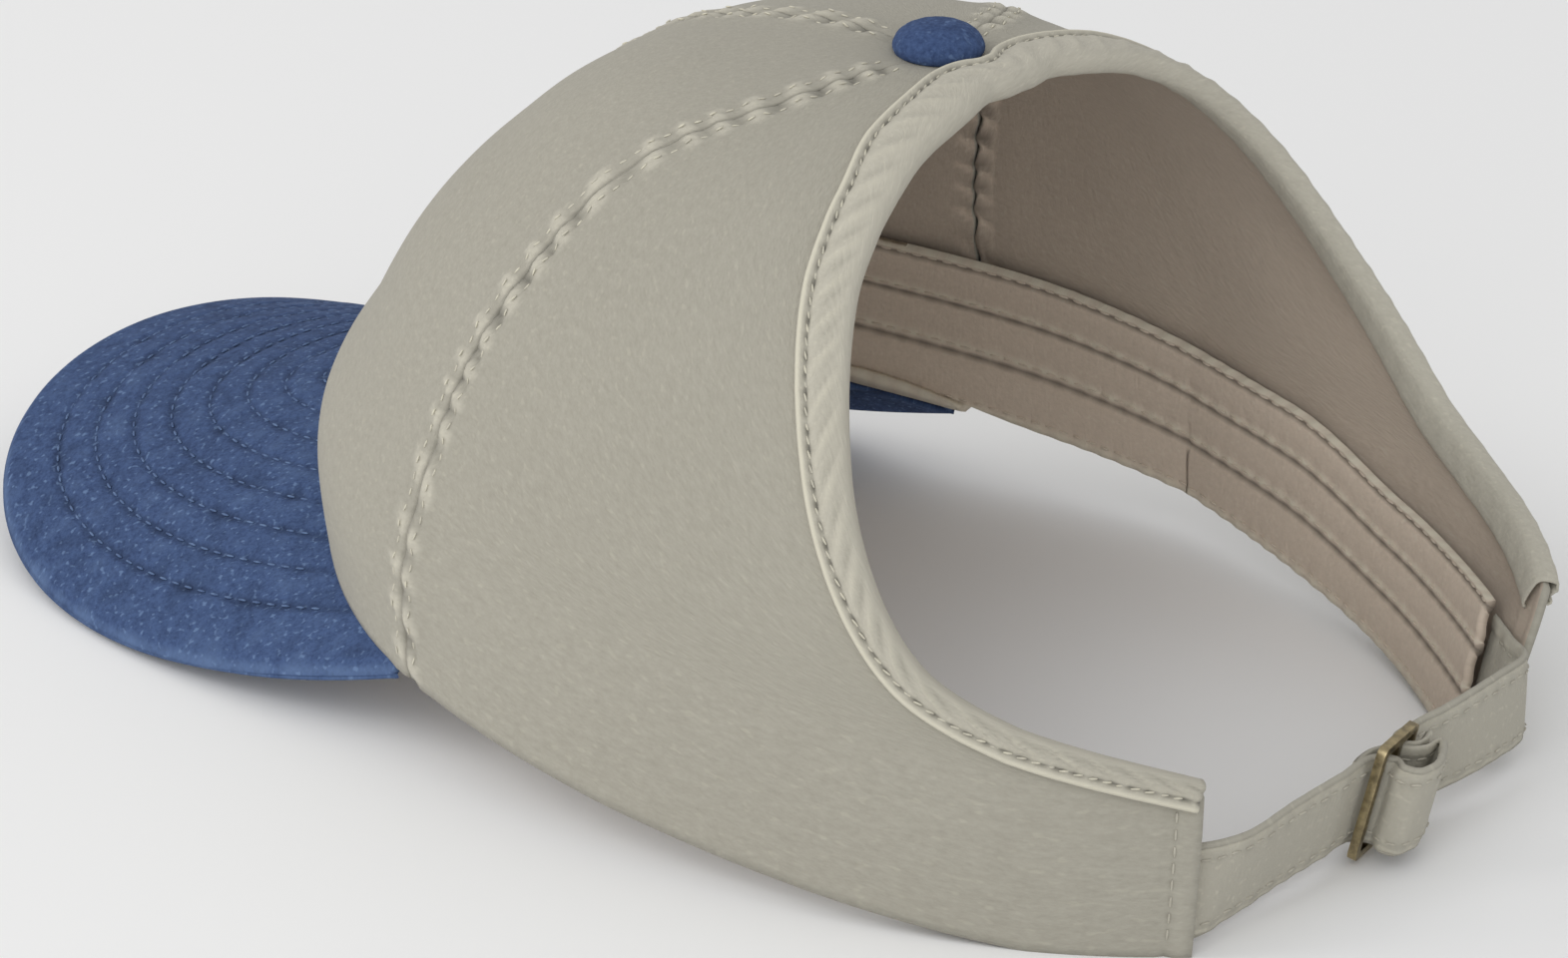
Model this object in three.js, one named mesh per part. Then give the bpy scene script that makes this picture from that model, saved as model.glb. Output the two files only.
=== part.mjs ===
// Ponytail baseball cap, lying on a flat surface on its visor and its two back tails.
// Millimetres and degrees. The front is -Y, the wearer's left is +X, and Z is up from that surface.
// Plan angles run from the front, 0, over the left side, 90, to the back, 180.
// Levels run up the crown's curve, from 0 at the rim to 1 at the top.
import * as THREE from 'three';

// How far the crown's plan centre, y = 0 in all that follows, lies behind the middle of the cap's length
const PLAN_CENTRE_Y = 34.845;

// Crown, outside
const CROWN_WIDTH = 156.2;
const CROWN_FRONT = 95.8;
const CROWN_BACK = 105.6;
const CROWN_HEIGHT = 105.4;
const PANEL_THICKNESS = 1.4;
const FRONT_SWELL = 3.0;
const TOP_DIP = 1.8;
const TOP_DIP_REACH = 24;

// Curve exponents: 2 is an ellipse, more is squarer
const PLAN_POWER = 2.25;
const FRONT_POWER = 2.0;
const SIDE_POWER = 2.36;
const BACK_POWER = 2.12;

// Rim, which lies on the surface at the back and rises towards the visor
const RIM_FLAT_FROM_Y = 66;
const RIM_RISE_ANGLE = 7.45;

// Back tails on either side of the opening. The strap draws their lower edges in by drawnIn,
// their upper edges stand out by flare, and their ends are slant shorter at the rim than at the top.
// Both grow from nothing where the crown faces back by TAIL_FROM_BACKWARD to all where it does by TAIL_FULL_BACKWARD.
const TAIL_ANGLE = 150.6;
const TAIL_HEIGHT = 27.2;
const TAIL_FADE_LEVEL = 0.45;
const TAIL_FROM_BACKWARD = 0.15;
const TAIL_FULL_BACKWARD = 0.85;
const TAILS = {
  left: { drawnIn: 3.2, flare: 0.0, slant: 2.6 },
  right: { drawnIn: 16.5, flare: 8.8, slant: 6.6 },
};

// Ponytail opening and its folded binding
const OPENING_TO_TOP = 16.6;
const BINDING_WIDTH = 10;
const BINDING_INNER_WIDTH = 6.2;
const BINDING_THICKNESS = 0.8;
const BINDING_GAP = 0.6;

// Sweatband, with three sewn channels
const SWEATBAND_HEIGHT = 28.4;
const SWEATBAND_THICKNESS = 1.5;
const SWEATBAND_CHANNELS = 3;
const CHANNEL_SWELL = 0.9;
const SWEATBAND_LIFT = 0.5;
const SWEATBAND_GAP = 0.7;
const SWEATBAND_BACK_MARGIN = 0.8;

// Visor
const VISOR_LENGTH = 71.2;
const VISOR_ANGLE = 57;
const VISOR_DROOP = 10.9;
const VISOR_TIP_LIFT = 2.1;
const VISOR_ARCH_RADIUS = 112;
const VISOR_GAP = 0.7;
const VISOR_TIP_REACH = 75;
const VISOR_SIDE_REACH = 47.6;
const VISOR_SIDE_BOW = 6.6;
const VISOR_UPPER_THICKNESS = 1.4;
const VISOR_LOWER_THICKNESS = 1.1;
const VISOR_SEAM_DEPTH = 4.4;
const VISOR_CORNER_DEPTH = 1.0;

// Covered button
const BUTTON_DIAMETER = 14;
const BUTTON_HEIGHT = 4.6;
const BUTTON_EDGE = 0.9;
const SHANK_DIAMETER = 3;
const WASHER_DIAMETER = 11;
const WASHER_THICKNESS = 0.8;

// Strap and slide buckle
const STRAP_HEIGHT = 15.2;
const STRAP_THICKNESS = 1.2;
const STRAP_TONGUE_ANGLE = 6;
const STRAP_GAP = 0.7;
const STRAP_LIFT = 5.2;
const STRAP_LEAN = 3.2;
const BUCKLE_X = 8.0;
const BUCKLE_BACK = 3.1;
const BUCKLE_TURN = 9;
const BUCKLE_PITCH = 5.4;
const BUCKLE_BAR = 1.4;
const BUCKLE_CORNER = 0.5;
const BUCKLE_GAP = 0.4;
const BUCKLE_SLACK = 0.4;
const LOOP_REACH = 7.2;

// Clearances
const CLEARANCE = 0.3;
const SEAM_GAP = 0.4;

// Opening edge from the top of the crown to a tail.
// along: share of the edge. angle: plan angle. rise: share of the way from the tail up to the opening's top.
const OPENING_EDGE = [
  { along: 0.0, angle: 180, rise: 1.0 },
  { along: 0.06, angle: 157, rise: 0.994 },
  { along: 0.118, angle: 142, rise: 0.955 },
  { along: 0.234, angle: 124.5, rise: 0.843 },
  { along: 0.303, angle: 119.8, rise: 0.762 },
  { along: 0.38, angle: 116.6, rise: 0.66 },
  { along: 0.46, angle: 115.3, rise: 0.557 },
  { along: 0.64, angle: 117.8, rise: 0.3 },
  { along: 0.82, angle: 126.5, rise: 0.087 },
  { along: 1.0, angle: TAIL_ANGLE, rise: 0.0 },
];
// Front seam up the crown. level: share of the curve from rim to top. angle: plan angle.
const FRONT_SEAM = [
  { level: 0.0, angle: 60.4 },
  { level: 0.27, angle: 59 },
  { level: 0.42, angle: 60.1 },
  { level: 0.54, angle: 61.4 },
  { level: 0.67, angle: 65.6 },
  { level: 0.8, angle: 74 },
  { level: 0.92, angle: 81.5 },
  { level: 1.0, angle: 84 },
];
// Binding width outside, by the same share of the edge, as shares of BINDING_WIDTH: it narrows to the tails.
const BINDING_WIDTHS = [
  { along: 0.0, width: 0.84 },
  { along: 0.12, width: 1.04 },
  { along: 0.24, width: 0.98 },
  { along: 0.34, width: 0.84 },
  { along: 0.5, width: 0.79 },
  { along: 0.7, width: 0.65 },
  { along: 0.85, width: 0.53 },
  { along: 1.0, width: 0.46 },
];

// The front's shape from rim to top, as shares of FRONT_SWELL that it stands out from the plain curve
const FRONT_SWELLS = [
  { level: 0.0, out: 0.0 },
  { level: 0.1, out: 1.0 },
  { level: 0.24, out: -0.1 },
  { level: 0.36, out: 0.05 },
  { level: 0.5, out: 0.45 },
  { level: 0.68, out: 1.1 },
  { level: 0.84, out: 0.5 },
  { level: 1.0, out: 0.0 },
];

// Sweatband height round the rim, as shares of SWEATBAND_HEIGHT: it drops under the binding at the tails.
const SWEATBAND_HEIGHTS = [
  { angle: 0, height: 1.0 },
  { angle: 62, height: 1.0 },
  { angle: 92, height: 0.94 },
  { angle: 106, height: 0.91 },
  { angle: 124, height: 0.72 },
  { angle: TAIL_ANGLE, height: 0.68 },
];

// The strap's line from the right tail to the left one: place as a share of the tails' half distance,
// lift of its lower edge as a share of STRAP_LIFT, and lean of that edge towards the head as one of STRAP_LEAN.
const STRAP_LINE = [
  { place: -1.0, lift: 0.54, lean: 0.0 },
  { place: -0.6, lift: 0.8, lean: 0.0 },
  { place: -0.2, lift: 0.65, lean: 0.6 },
  { place: -0.06, lift: 0.52, lean: 1.0 },
  { place: 0.26, lift: 0.52, lean: 1.0 },
  { place: 0.8, lift: 0.25, lean: 1.0 },
  { place: 1.0, lift: 0.2, lean: 0.0 },
];

// Where the straps run near the buckle, in its own plane. right: towards the right tail, in bar pitches
// from its left bar. layers: how many layers of strap lie between the line and the bars, on the head's side.
const LEFT_STRAP_RUN = [
  { right: -5.5, layers: 3.9 },
  { right: -3.2, layers: 2.3 },
  { right: -1.2, layers: 0.8 },
  { right: 0.25, layers: 0 },
];
const LEFT_STRAP_END = [
  { right: 0.6, layers: 1 },
  { right: -0.25, layers: 1 },
];
const RIGHT_STRAP_RUN = [
  { right: 4.1, layers: -1.9 },
  { right: 6.5, layers: -3.3 },
  { right: 8.1, layers: -3.6 },
  { right: 8.85, layers: -2.7 },
];
const RIGHT_STRAP_END = 2.5;
const BAR_TURNS = [90, 135, 180, 225, 270];

// The strap's tail, folded round the buckle's middle bar.
// right: towards the right tail, in bar pitches. out: away from the head, as a share of LOOP_REACH.
const TAIL_LOOP = [
  { right: 0.45, out: 0.2 },
  { right: 0.1, out: 0.48 },
  { right: 0.12, out: 0.83 },
  { right: 0.5, out: 0.97 },
  { right: 1.05, out: 1.0 },
  { right: 1.65, out: 0.88 },
  { right: 2.05, out: 0.77 },
  { right: 2.28, out: 0.66 },
  { right: 2.27, out: 0.54 },
  { right: 2.05, out: 0.48 },
  { right: 1.75, out: 0.45 },
  { right: 1.45, out: 0.28 },
];

const CLOTH = new THREE.MeshStandardMaterial({ color: 0xa6a295, roughness: 0.95, metalness: 0 });
const STRAP_CLOTH = new THREE.MeshStandardMaterial({ color: 0xa8a59c, roughness: 0.92, metalness: 0 });
const BAND_CLOTH = new THREE.MeshStandardMaterial({ color: 0x8b8174, roughness: 0.97, metalness: 0 });
const CHAMBRAY = new THREE.MeshStandardMaterial({ color: 0x465779, roughness: 0.93, metalness: 0 });
const BRASS = new THREE.MeshStandardMaterial({ color: 0x8f8158, roughness: 0.42, metalness: 1 });

const cap = new THREE.Group();
const radians = THREE.MathUtils.degToRad;
const lerp = THREE.MathUtils.lerp;
const FULL_TURN = 2 * Math.PI;

function addPiece(name, geometry, material) {
  const piece = new THREE.Mesh(geometry, material);
  piece.name = name;
  cap.add(piece);
}

function shares(count) {
  return Array.from({ length: count + 1 }, (_, index) => index / count);
}

// A table's column at a place, by a smooth curve through its rows that never overshoots them
function tableValue(rows, place, column, at) {
  const spans = rows.slice(1).map((row, i) => row[place] - rows[i][place]);
  const slopes = rows.slice(1).map((row, i) => (row[column] - rows[i][column]) / spans[i]);
  const tangents = rows.map((_, i) => {
    if (i === 0) return slopes[0];
    if (i === rows.length - 1) return slopes[i - 1];
    if (slopes[i - 1] * slopes[i] <= 0) return 0;
    return 2 * slopes[i - 1] * slopes[i] / (slopes[i - 1] + slopes[i]);
  });
  const last = rows.findIndex((row, i) => i > 0 && at <= row[place]);
  const i = (last < 0 ? rows.length - 1 : last) - 1;
  const t = THREE.MathUtils.clamp((at - rows[i][place]) / spans[i], 0, 1);
  const start = (1 + 2 * t) * (1 - t) ** 2 * rows[i][column] + t * (1 - t) ** 2 * spans[i] * tangents[i];
  const end = t * t * (3 - 2 * t) * rows[i + 1][column] + t * t * (t - 1) * spans[i] * tangents[i + 1];
  return start + end;
}

// Where a rising or falling function passes a value, between two arguments
function solveFor(value, low, high, measure) {
  const rising = measure(high) > measure(low);
  let [from, to] = [low, high];
  for (let step = 0; step < 40; step += 1) {
    const middle = (from + to) / 2;
    if ((measure(middle) < value) === rising) from = middle;
    else to = middle;
  }
  return (from + to) / 2;
}

// Closed thin solid between two faces, given as rows of [outer point, inner point] pairs
function sheetGeometry(rows) {
  const columns = rows[0].length;
  const positions = [];
  const triangles = [];
  for (const row of rows) for (const pair of row) for (const point of pair) positions.push(...point.toArray());
  const corner = (row, column, face) => 2 * (row * columns + column) + face;
  const addQuad = (a, b, c, d) => triangles.push(a, b, c, a, c, d);
  for (let row = 0; row < rows.length - 1; row += 1) {
    for (let column = 0; column < columns - 1; column += 1) {
      addQuad(corner(row, column, 0), corner(row, column + 1, 0), corner(row + 1, column + 1, 0), corner(row + 1, column, 0));
      addQuad(corner(row, column, 1), corner(row + 1, column, 1), corner(row + 1, column + 1, 1), corner(row, column + 1, 1));
    }
    addQuad(corner(row, 0, 0), corner(row + 1, 0, 0), corner(row + 1, 0, 1), corner(row, 0, 1));
    const end = columns - 1;
    addQuad(corner(row, end, 1), corner(row + 1, end, 1), corner(row + 1, end, 0), corner(row, end, 0));
  }
  for (let column = 0; column < columns - 1; column += 1) {
    const top = rows.length - 1;
    addQuad(corner(0, column, 1), corner(0, column + 1, 1), corner(0, column + 1, 0), corner(0, column, 0));
    addQuad(corner(top, column, 0), corner(top, column + 1, 0), corner(top, column + 1, 1), corner(top, column, 1));
  }
  if (signedVolume(positions, triangles) < 0) triangles.reverse();
  const geometry = new THREE.BufferGeometry();
  geometry.setAttribute('position', new THREE.Float32BufferAttribute(positions, 3));
  geometry.setIndex(triangles);
  geometry.computeVertexNormals();
  return geometry;
}

function signedVolume(positions, triangles) {
  const corners = triangles.map((index) => new THREE.Vector3().fromArray(positions, 3 * index));
  let volume = 0;
  for (let i = 0; i < corners.length; i += 3) {
    volume += corners[i].dot(corners[i + 1].clone().cross(corners[i + 2])) / 6;
  }
  return volume;
}

// Rim and visor surface

function rimPlan(angle) {
  const [forward, sideways] = [Math.cos(angle), Math.sin(angle)];
  const length = forward > 0 ? CROWN_FRONT : CROWN_BACK;
  const sum = Math.abs(forward / length) ** PLAN_POWER + Math.abs(sideways / (CROWN_WIDTH / 2)) ** PLAN_POWER;
  const reach = sum ** (-1 / PLAN_POWER);
  return new THREE.Vector2(reach * sideways, -reach * forward);
}

const visorCorner = rimPlan(radians(VISOR_ANGLE));
const visorTipY = -(CROWN_FRONT + VISOR_LENGTH);

function risingRim(y) {
  return Math.tan(radians(RIM_RISE_ANGLE)) * Math.max(0, RIM_FLAT_FROM_Y - y);
}

function archHeight(x) {
  return Math.sqrt(Math.max(VISOR_ARCH_RADIUS ** 2 - x * x, 0));
}

// The surface that the visor's top lies along, which the front panels' lower edges follow
function visorSurface(x, y) {
  const forward = visorCorner.y - y;
  const arch = archHeight(x) - archHeight(visorCorner.x);
  const lift = VISOR_TIP_LIFT * (Math.max(0, forward) / (visorCorner.y - visorTipY)) ** 2;
  return risingRim(visorCorner.y) - Math.tan(radians(VISOR_DROOP)) * forward + arch + lift;
}

function rimHeight(angle, x, y) {
  const overVisor = Math.cos(angle) > Math.cos(radians(VISOR_ANGLE));
  return overVisor ? visorSurface(x, y) : risingRim(y);
}

// Crown surface

function crownPoint(angle, level) {
  const rim = rimPlan(angle);
  const forward = Math.cos(angle);
  const endPower = forward > 0 ? FRONT_POWER : BACK_POWER;
  const power = lerp(SIDE_POWER, endPower, forward ** 2);
  const turn = level * Math.PI / 2;
  const shrink = Math.cos(turn) ** (2 / power);
  const rise = Math.sin(turn) ** (2 / power);
  const base = rimHeight(angle, rim.x, rim.y);
  const swell = FRONT_SWELL * Math.max(0, forward) * tableValue(FRONT_SWELLS, 'level', 'out', level);
  const tail = rim.x > 0 ? TAILS.left : TAILS.right;
  const backward = Math.max(0, -forward);
  const drawn = tail.drawnIn * Math.min(1, backward / TAIL_FULL_BACKWARD) * Math.max(0, 1 - level / TAIL_FADE_LEVEL) ** 2;
  const nearTail = THREE.MathUtils.smoothstep(backward, TAIL_FROM_BACKWARD, TAIL_FULL_BACKWARD);
  const flare = tail.flare * nearTail * Math.sin(Math.PI * Math.min(level / TAIL_FADE_LEVEL, 1)) ** 2;
  const reach = shrink + swell * Math.cos(turn) / rim.length();
  const shift = Math.sign(rim.x) * (flare - drawn);
  const dip = TOP_DIP * Math.max(0, 1 - reach * rim.length() / TOP_DIP_REACH) ** 2;
  const height = lerp(base, CROWN_HEIGHT, rise) + swell * Math.sin(turn) - dip;
  return new THREE.Vector3(rim.x * reach + shift, rim.y * reach, height);
}

function crownFrame(angle, level) {
  const step = 0.003;
  const low = Math.max(0, level - step);
  const across = crownPoint(angle + step, level).sub(crownPoint(angle - step, level)).divideScalar(2 * step);
  const up = crownPoint(angle, level + step).sub(crownPoint(angle, low)).divideScalar(level + step - low);
  return { across, up, normal: across.clone().cross(up).normalize() };
}

// A point under the crown's outer surface, or over it where depth is negative
function underCrown(angle, level, depth) {
  const point = crownPoint(angle, level).addScaledVector(crownFrame(angle, level).normal, -depth);
  if (level === 0) point.z = rimHeight(angle, point.x, point.y);
  return point;
}

// The place reached from another by a walk over the crown, in a direction given in space
function walkOver(place, direction, distance) {
  const steps = 3;
  let { angle, level } = place;
  for (let step = 0; step < steps; step += 1) {
    const { across, up } = crownFrame(angle, level);
    const [aa, ab, bb] = [across.dot(across), across.dot(up), up.dot(up)];
    const [ad, bd] = [across.dot(direction), up.dot(direction)];
    const scale = distance / steps / (aa * bb - ab * ab);
    angle += (ad * bb - bd * ab) * scale;
    level += (bd * aa - ad * ab) * scale;
  }
  return { angle, level };
}

function levelAtHeight(angle, height) {
  const base = crownPoint(angle, 0).z;
  return solveFor(base + height, 0, 0.9, (level) => crownPoint(angle, level).z);
}

function levelAtReach(angle, reach) {
  return solveFor(reach, 0.3, 1, (level) => Math.hypot(crownPoint(angle, level).x, crownPoint(angle, level).y));
}

// Opening edge, from -1 at the right tail over 0 at the top to 1 at the left tail

const tailLevel = levelAtHeight(radians(TAIL_ANGLE), TAIL_HEIGHT);
const openingTopLevel = levelAtReach(Math.PI, OPENING_TO_TOP);

function openingPlace(along) {
  const share = Math.abs(along);
  const angle = radians(tableValue(OPENING_EDGE, 'along', 'angle', share));
  const rise = tableValue(OPENING_EDGE, 'along', 'rise', share);
  return { angle: along < 0 ? FULL_TURN - angle : angle, level: lerp(tailLevel, openingTopLevel, rise) };
}

// A place at a distance in from the opening's edge, at right angles to it
function besideOpening(along, distance) {
  const step = 0.01;
  const [from, to] = [Math.max(-1, along - step), Math.min(1, along + step)];
  const [start, end] = [openingPlace(from), openingPlace(to)];
  const edge = crownPoint(end.angle, end.level).sub(crownPoint(start.angle, start.level));
  const place = openingPlace(along);
  const inward = edge.cross(crownFrame(place.angle, place.level).normal).normalize();
  return walkOver(place, inward, distance);
}

// Crown panels

const apexLevel = levelAtReach(0, SHANK_DIAMETER / 2 + 2 * CLEARANCE);
const bindingEdgeGap = BINDING_THICKNESS + BINDING_GAP;

// An angle moved off a seam by half its gap, at a level
function besideSeam(angle, level, side) {
  const point = crownPoint(angle, level);
  return angle + side * SEAM_GAP / 2 / Math.hypot(point.x, point.y);
}

function panelPair(angle, level) {
  return [underCrown(angle, level, 0), underCrown(angle, level, PANEL_THICKNESS)];
}

function frontSeamAngle(level) {
  return radians(tableValue(FRONT_SEAM, 'level', 'angle', level));
}
function frontPanelRows() {
  const rowCount = 18;
  const columnCount = 10;
  const rowCrowding = 1.2;
  return shares(rowCount).map((share) => {
    const level = share ** rowCrowding * apexLevel;
    const start = besideSeam(0, level, 1);
    const end = besideSeam(frontSeamAngle(level), level, -1);
    return shares(columnCount).map((across) => [lerp(start, end, across), level]);
  });
}

// Where a tail ends, at a level
function tailEndAngle(tail, level) {
  const rim = rimPlan(radians(TAIL_ANGLE)).length();
  return radians(TAIL_ANGLE) - tail.slant / rim * Math.max(0, 1 - level / tailLevel);
}

function sidePanelRows(tail) {
  const columnCount = 13;
  const tailRows = 3;
  const edgeRows = 18;
  const topRows = 3;
  const edge = shares(edgeRows).map((share) => besideOpening(1 - share, bindingEdgeGap));
  const tailEdge = shares(tailRows).slice(0, -1).map((share) => {
    const level = share * edge[0].level;
    return { angle: tailEndAngle(tail, level), level };
  });
  const topEdge = shares(topRows).slice(1).map((share) => {
    const level = lerp(edge[edgeRows].level, apexLevel, share);
    return { angle: besideSeam(Math.PI, level, -1), level };
  });
  edge[edgeRows].angle = besideSeam(Math.PI, edge[edgeRows].level, -1);
  return [...tailEdge, ...edge, ...topEdge].map(({ angle, level }) => {
    const start = besideSeam(frontSeamAngle(level), level, 1);
    return shares(columnCount).map((across) => [lerp(start, angle, across), level]);
  });
}

for (const [side, turn] of [['left', 1], ['right', -1]]) {
  const addPanel = (name, rows) => {
    const pairs = rows.map((row) => row.map(([angle, level]) => panelPair(turn * angle, level)));
    addPiece(`${name}_${side}`, sheetGeometry(pairs), CLOTH);
  };
  addPanel('crown_front', frontPanelRows());
  addPanel('crown_side', sidePanelRows(TAILS[side]));
}

// Binding: a folded tape with the panels' edges in its slot

function bindingRows() {
  const stationCount = 46;
  const farDepth = PANEL_THICKNESS + BINDING_GAP;
  const nearDepth = -BINDING_GAP;
  const middle = PANEL_THICKNESS / 2;
  const half = BINDING_THICKNESS / 2;
  // Section points: distance in from the opening's edge and depth, outside and inside of the fold
  const sectionOf = (width) => [
    [width, nearDepth - BINDING_THICKNESS, width, nearDepth],
    [width / 2, nearDepth - BINDING_THICKNESS, width / 2, nearDepth],
    [half, nearDepth - BINDING_THICKNESS, BINDING_THICKNESS, nearDepth],
    [0, middle, BINDING_THICKNESS, middle],
    [half, farDepth + BINDING_THICKNESS, BINDING_THICKNESS, farDepth],
    [BINDING_INNER_WIDTH / 2, farDepth + BINDING_THICKNESS, BINDING_INNER_WIDTH / 2, farDepth],
    [BINDING_INNER_WIDTH, farDepth + BINDING_THICKNESS, BINDING_INNER_WIDTH, farDepth],
  ];
  return shares(stationCount).map((share) => {
    const along = lerp(-1, 1, share);
    const width = BINDING_WIDTH * tableValue(BINDING_WIDTHS, 'along', 'width', Math.abs(along));
    return sectionOf(width).map(([outerIn, outerDepth, innerIn, innerDepth]) => {
      const outer = besideOpening(along, outerIn);
      const inner = besideOpening(along, innerIn);
      return [underCrown(outer.angle, outer.level, outerDepth), underCrown(inner.angle, inner.level, innerDepth)];
    });
  });
}

addPiece('opening_binding', sheetGeometry(bindingRows()), CLOTH);

// Sweatband

const bandDepth = PANEL_THICKNESS + SWEATBAND_GAP;
const strapRoom = STRAP_THICKNESS + STRAP_GAP;

// How far in the band stands behind the panels: at the tails it leaves room for the strap's sewn ends
function sweatbandDepth(angle) {
  const tail = angle > 0 ? TAILS.left : TAILS.right;
  const fromTail = THREE.MathUtils.radToDeg(tailEndAngle(tail, 0) - Math.abs(angle));
  return bandDepth + strapRoom * (1 - THREE.MathUtils.smoothstep(fromTail, STRAP_TONGUE_ANGLE, 2 * STRAP_TONGUE_ANGLE));
}

function sweatbandRows() {
  const stationCount = 54;
  const rowsPerChannel = 3;
  const endAt = (tail) => THREE.MathUtils.radToDeg(tailEndAngle(tail, 0)) - SWEATBAND_BACK_MARGIN;
  const heightShares = shares(SWEATBAND_CHANNELS * rowsPerChannel);
  return shares(stationCount).map((share) => {
    const degrees = lerp(-endAt(TAILS.right), endAt(TAILS.left), share);
    const angle = radians(degrees);
    const height = SWEATBAND_HEIGHT * tableValue(SWEATBAND_HEIGHTS, 'angle', 'height', Math.abs(degrees));
    const topLevel = levelAtHeight(angle, height);
    const depth = sweatbandDepth(angle);
    return heightShares.map((up) => {
      const level = topLevel * up;
      const ridge = CHANNEL_SWELL * Math.sin(Math.PI * SWEATBAND_CHANNELS * up) ** 2;
      const outer = underCrown(angle, level, depth);
      const inner = underCrown(angle, level, depth + SWEATBAND_THICKNESS + ridge);
      const lift = SWEATBAND_LIFT * (1 - up);
      outer.z += lift;
      inner.z += lift;
      return [outer, inner];
    });
  });
}

addPiece('sweatband', sheetGeometry(sweatbandRows()), BAND_CLOTH);

// Visor

const visorEdge = new THREE.CubicBezierCurve(
  new THREE.Vector2(0, visorTipY),
  new THREE.Vector2(VISOR_TIP_REACH, visorTipY),
  new THREE.Vector2(visorCorner.x + VISOR_SIDE_BOW, visorCorner.y - VISOR_SIDE_REACH),
  visorCorner,
);

function visorRows(topDrop, bottomDrop) {
  const columnCount = 26;
  const rowCount = 7;
  return shares(columnCount).map((share) => {
    const across = lerp(-1, 1, share);
    const side = Math.sign(across);
    const outer = visorEdge.getPoint(Math.abs(across));
    const rim = rimPlan(radians(VISOR_ANGLE) * Math.abs(across));
    const depth = lerp(VISOR_SEAM_DEPTH, VISOR_CORNER_DEPTH, Math.abs(across) ** 6);
    const inner = rim.clone().multiplyScalar(1 - depth / rim.length());
    return shares(rowCount).map((out) => {
      const place = inner.clone().lerp(outer, out);
      const height = visorSurface(place.x, place.y);
      const x = side * place.x;
      return [
        new THREE.Vector3(x, place.y, height - topDrop),
        new THREE.Vector3(x, place.y, height - bottomDrop),
      ];
    });
  });
}

const upperBottom = VISOR_GAP + VISOR_UPPER_THICKNESS;
const lowerTop = upperBottom + CLEARANCE;
addPiece('visor_upper', sheetGeometry(visorRows(VISOR_GAP, upperBottom)), CHAMBRAY);
addPiece('visor_lower', sheetGeometry(visorRows(lowerTop, lowerTop + VISOR_LOWER_THICKNESS)), CHAMBRAY);

// Button: dome over the panels, shank through them and washer inside, turned about the crown's axis

function buttonGeometry() {
  const domeSteps = 6;
  const dome = BUTTON_DIAMETER / 2;
  const seat = CROWN_HEIGHT - TOP_DIP / 2 + CLEARANCE;
  const under = CROWN_HEIGHT - TOP_DIP - PANEL_THICKNESS - CLEARANCE;
  const profile = shares(domeSteps).map((share) => {
    const turn = (1 - share) * Math.PI / 2;
    return new THREE.Vector2(dome * Math.cos(turn), seat + BUTTON_EDGE + (BUTTON_HEIGHT - BUTTON_EDGE) * Math.sin(turn));
  });
  profile[0].x = 0;
  profile.push(new THREE.Vector2(dome - BUTTON_EDGE / 2, seat));
  profile.push(new THREE.Vector2(SHANK_DIAMETER / 2, seat));
  profile.push(new THREE.Vector2(SHANK_DIAMETER / 2, under));
  profile.push(new THREE.Vector2(WASHER_DIAMETER / 2, under));
  profile.push(new THREE.Vector2(WASHER_DIAMETER / 2, under - WASHER_THICKNESS));
  profile.push(new THREE.Vector2(0, under - WASHER_THICKNESS));
  return new THREE.LatheGeometry(profile.reverse(), 24);
}

const button = new THREE.Mesh(buttonGeometry(), CHAMBRAY);
button.name = 'top_button';
button.rotation.x = Math.PI / 2;
cap.add(button);

// Strap and buckle

// Height of a strap's lower edge, where place is 1 at the left tail and -1 at the right one
function strapLow(place) {
  return CLEARANCE + STRAP_LIFT * tableValue(STRAP_LINE, 'place', 'lift', place);
}

// Plan point under a panel or beside it, at a share of the strap's height
function strapPoint(angle, side, up, depth) {
  const level = levelAtHeight(side * angle, strapLow(side) + up * STRAP_HEIGHT);
  const point = underCrown(side * angle, level, depth);
  return new THREE.Vector2(point.x, point.y);
}

// The strap's sewn end behind a tail, from its tip to where it comes out
function strapEnd(side, up) {
  const tail = side > 0 ? TAILS.left : TAILS.right;
  const exit = tailEndAngle(tail, levelAtHeight(radians(TAIL_ANGLE), strapLow(side) + STRAP_HEIGHT));
  const depth = PANEL_THICKNESS + STRAP_GAP + STRAP_THICKNESS / 2;
  return shares(2).map((share) => strapPoint(exit - radians(STRAP_TONGUE_ANGLE) * (1 - share), side, up, depth));
}

const tailX = Math.abs(crownPoint(radians(TAIL_ANGLE), 0).x);
const buckleY = crownPoint(radians(TAIL_ANGLE), 0).y + BUCKLE_BACK;
const toRight = new THREE.Vector2(-1, 0).rotateAround(new THREE.Vector2(), radians(BUCKLE_TURN));
const toBack = new THREE.Vector2(0, 1).rotateAround(new THREE.Vector2(), radians(BUCKLE_TURN));
const behindBar = BUCKLE_BAR / 2 + BUCKLE_GAP + STRAP_THICKNESS / 2;
const layerPitch = STRAP_THICKNESS + BUCKLE_GAP;

// A point by the buckle: right in bar pitches from its left bar, out in millimetres from its middle plane
function bucklePoint(right, out) {
  const leftBar = new THREE.Vector2(BUCKLE_X, buckleY);
  return leftBar.addScaledVector(toRight, right * BUCKLE_PITCH).addScaledVector(toBack, out);
}

function runPoint({ right, layers }) {
  return bucklePoint(right, -behindBar - layers * layerPitch);
}

// A point of the strap's middle line round a bar, its turn in degrees from the bar's right towards the back
function roundBar(bar, turn) {
  const reach = BUCKLE_BAR * Math.SQRT1_2 + CLEARANCE + STRAP_THICKNESS / 2;
  const aside = reach * Math.cos(radians(turn)) / BUCKLE_PITCH;
  return bucklePoint(bar + aside, reach * Math.sin(radians(turn)));
}

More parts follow.
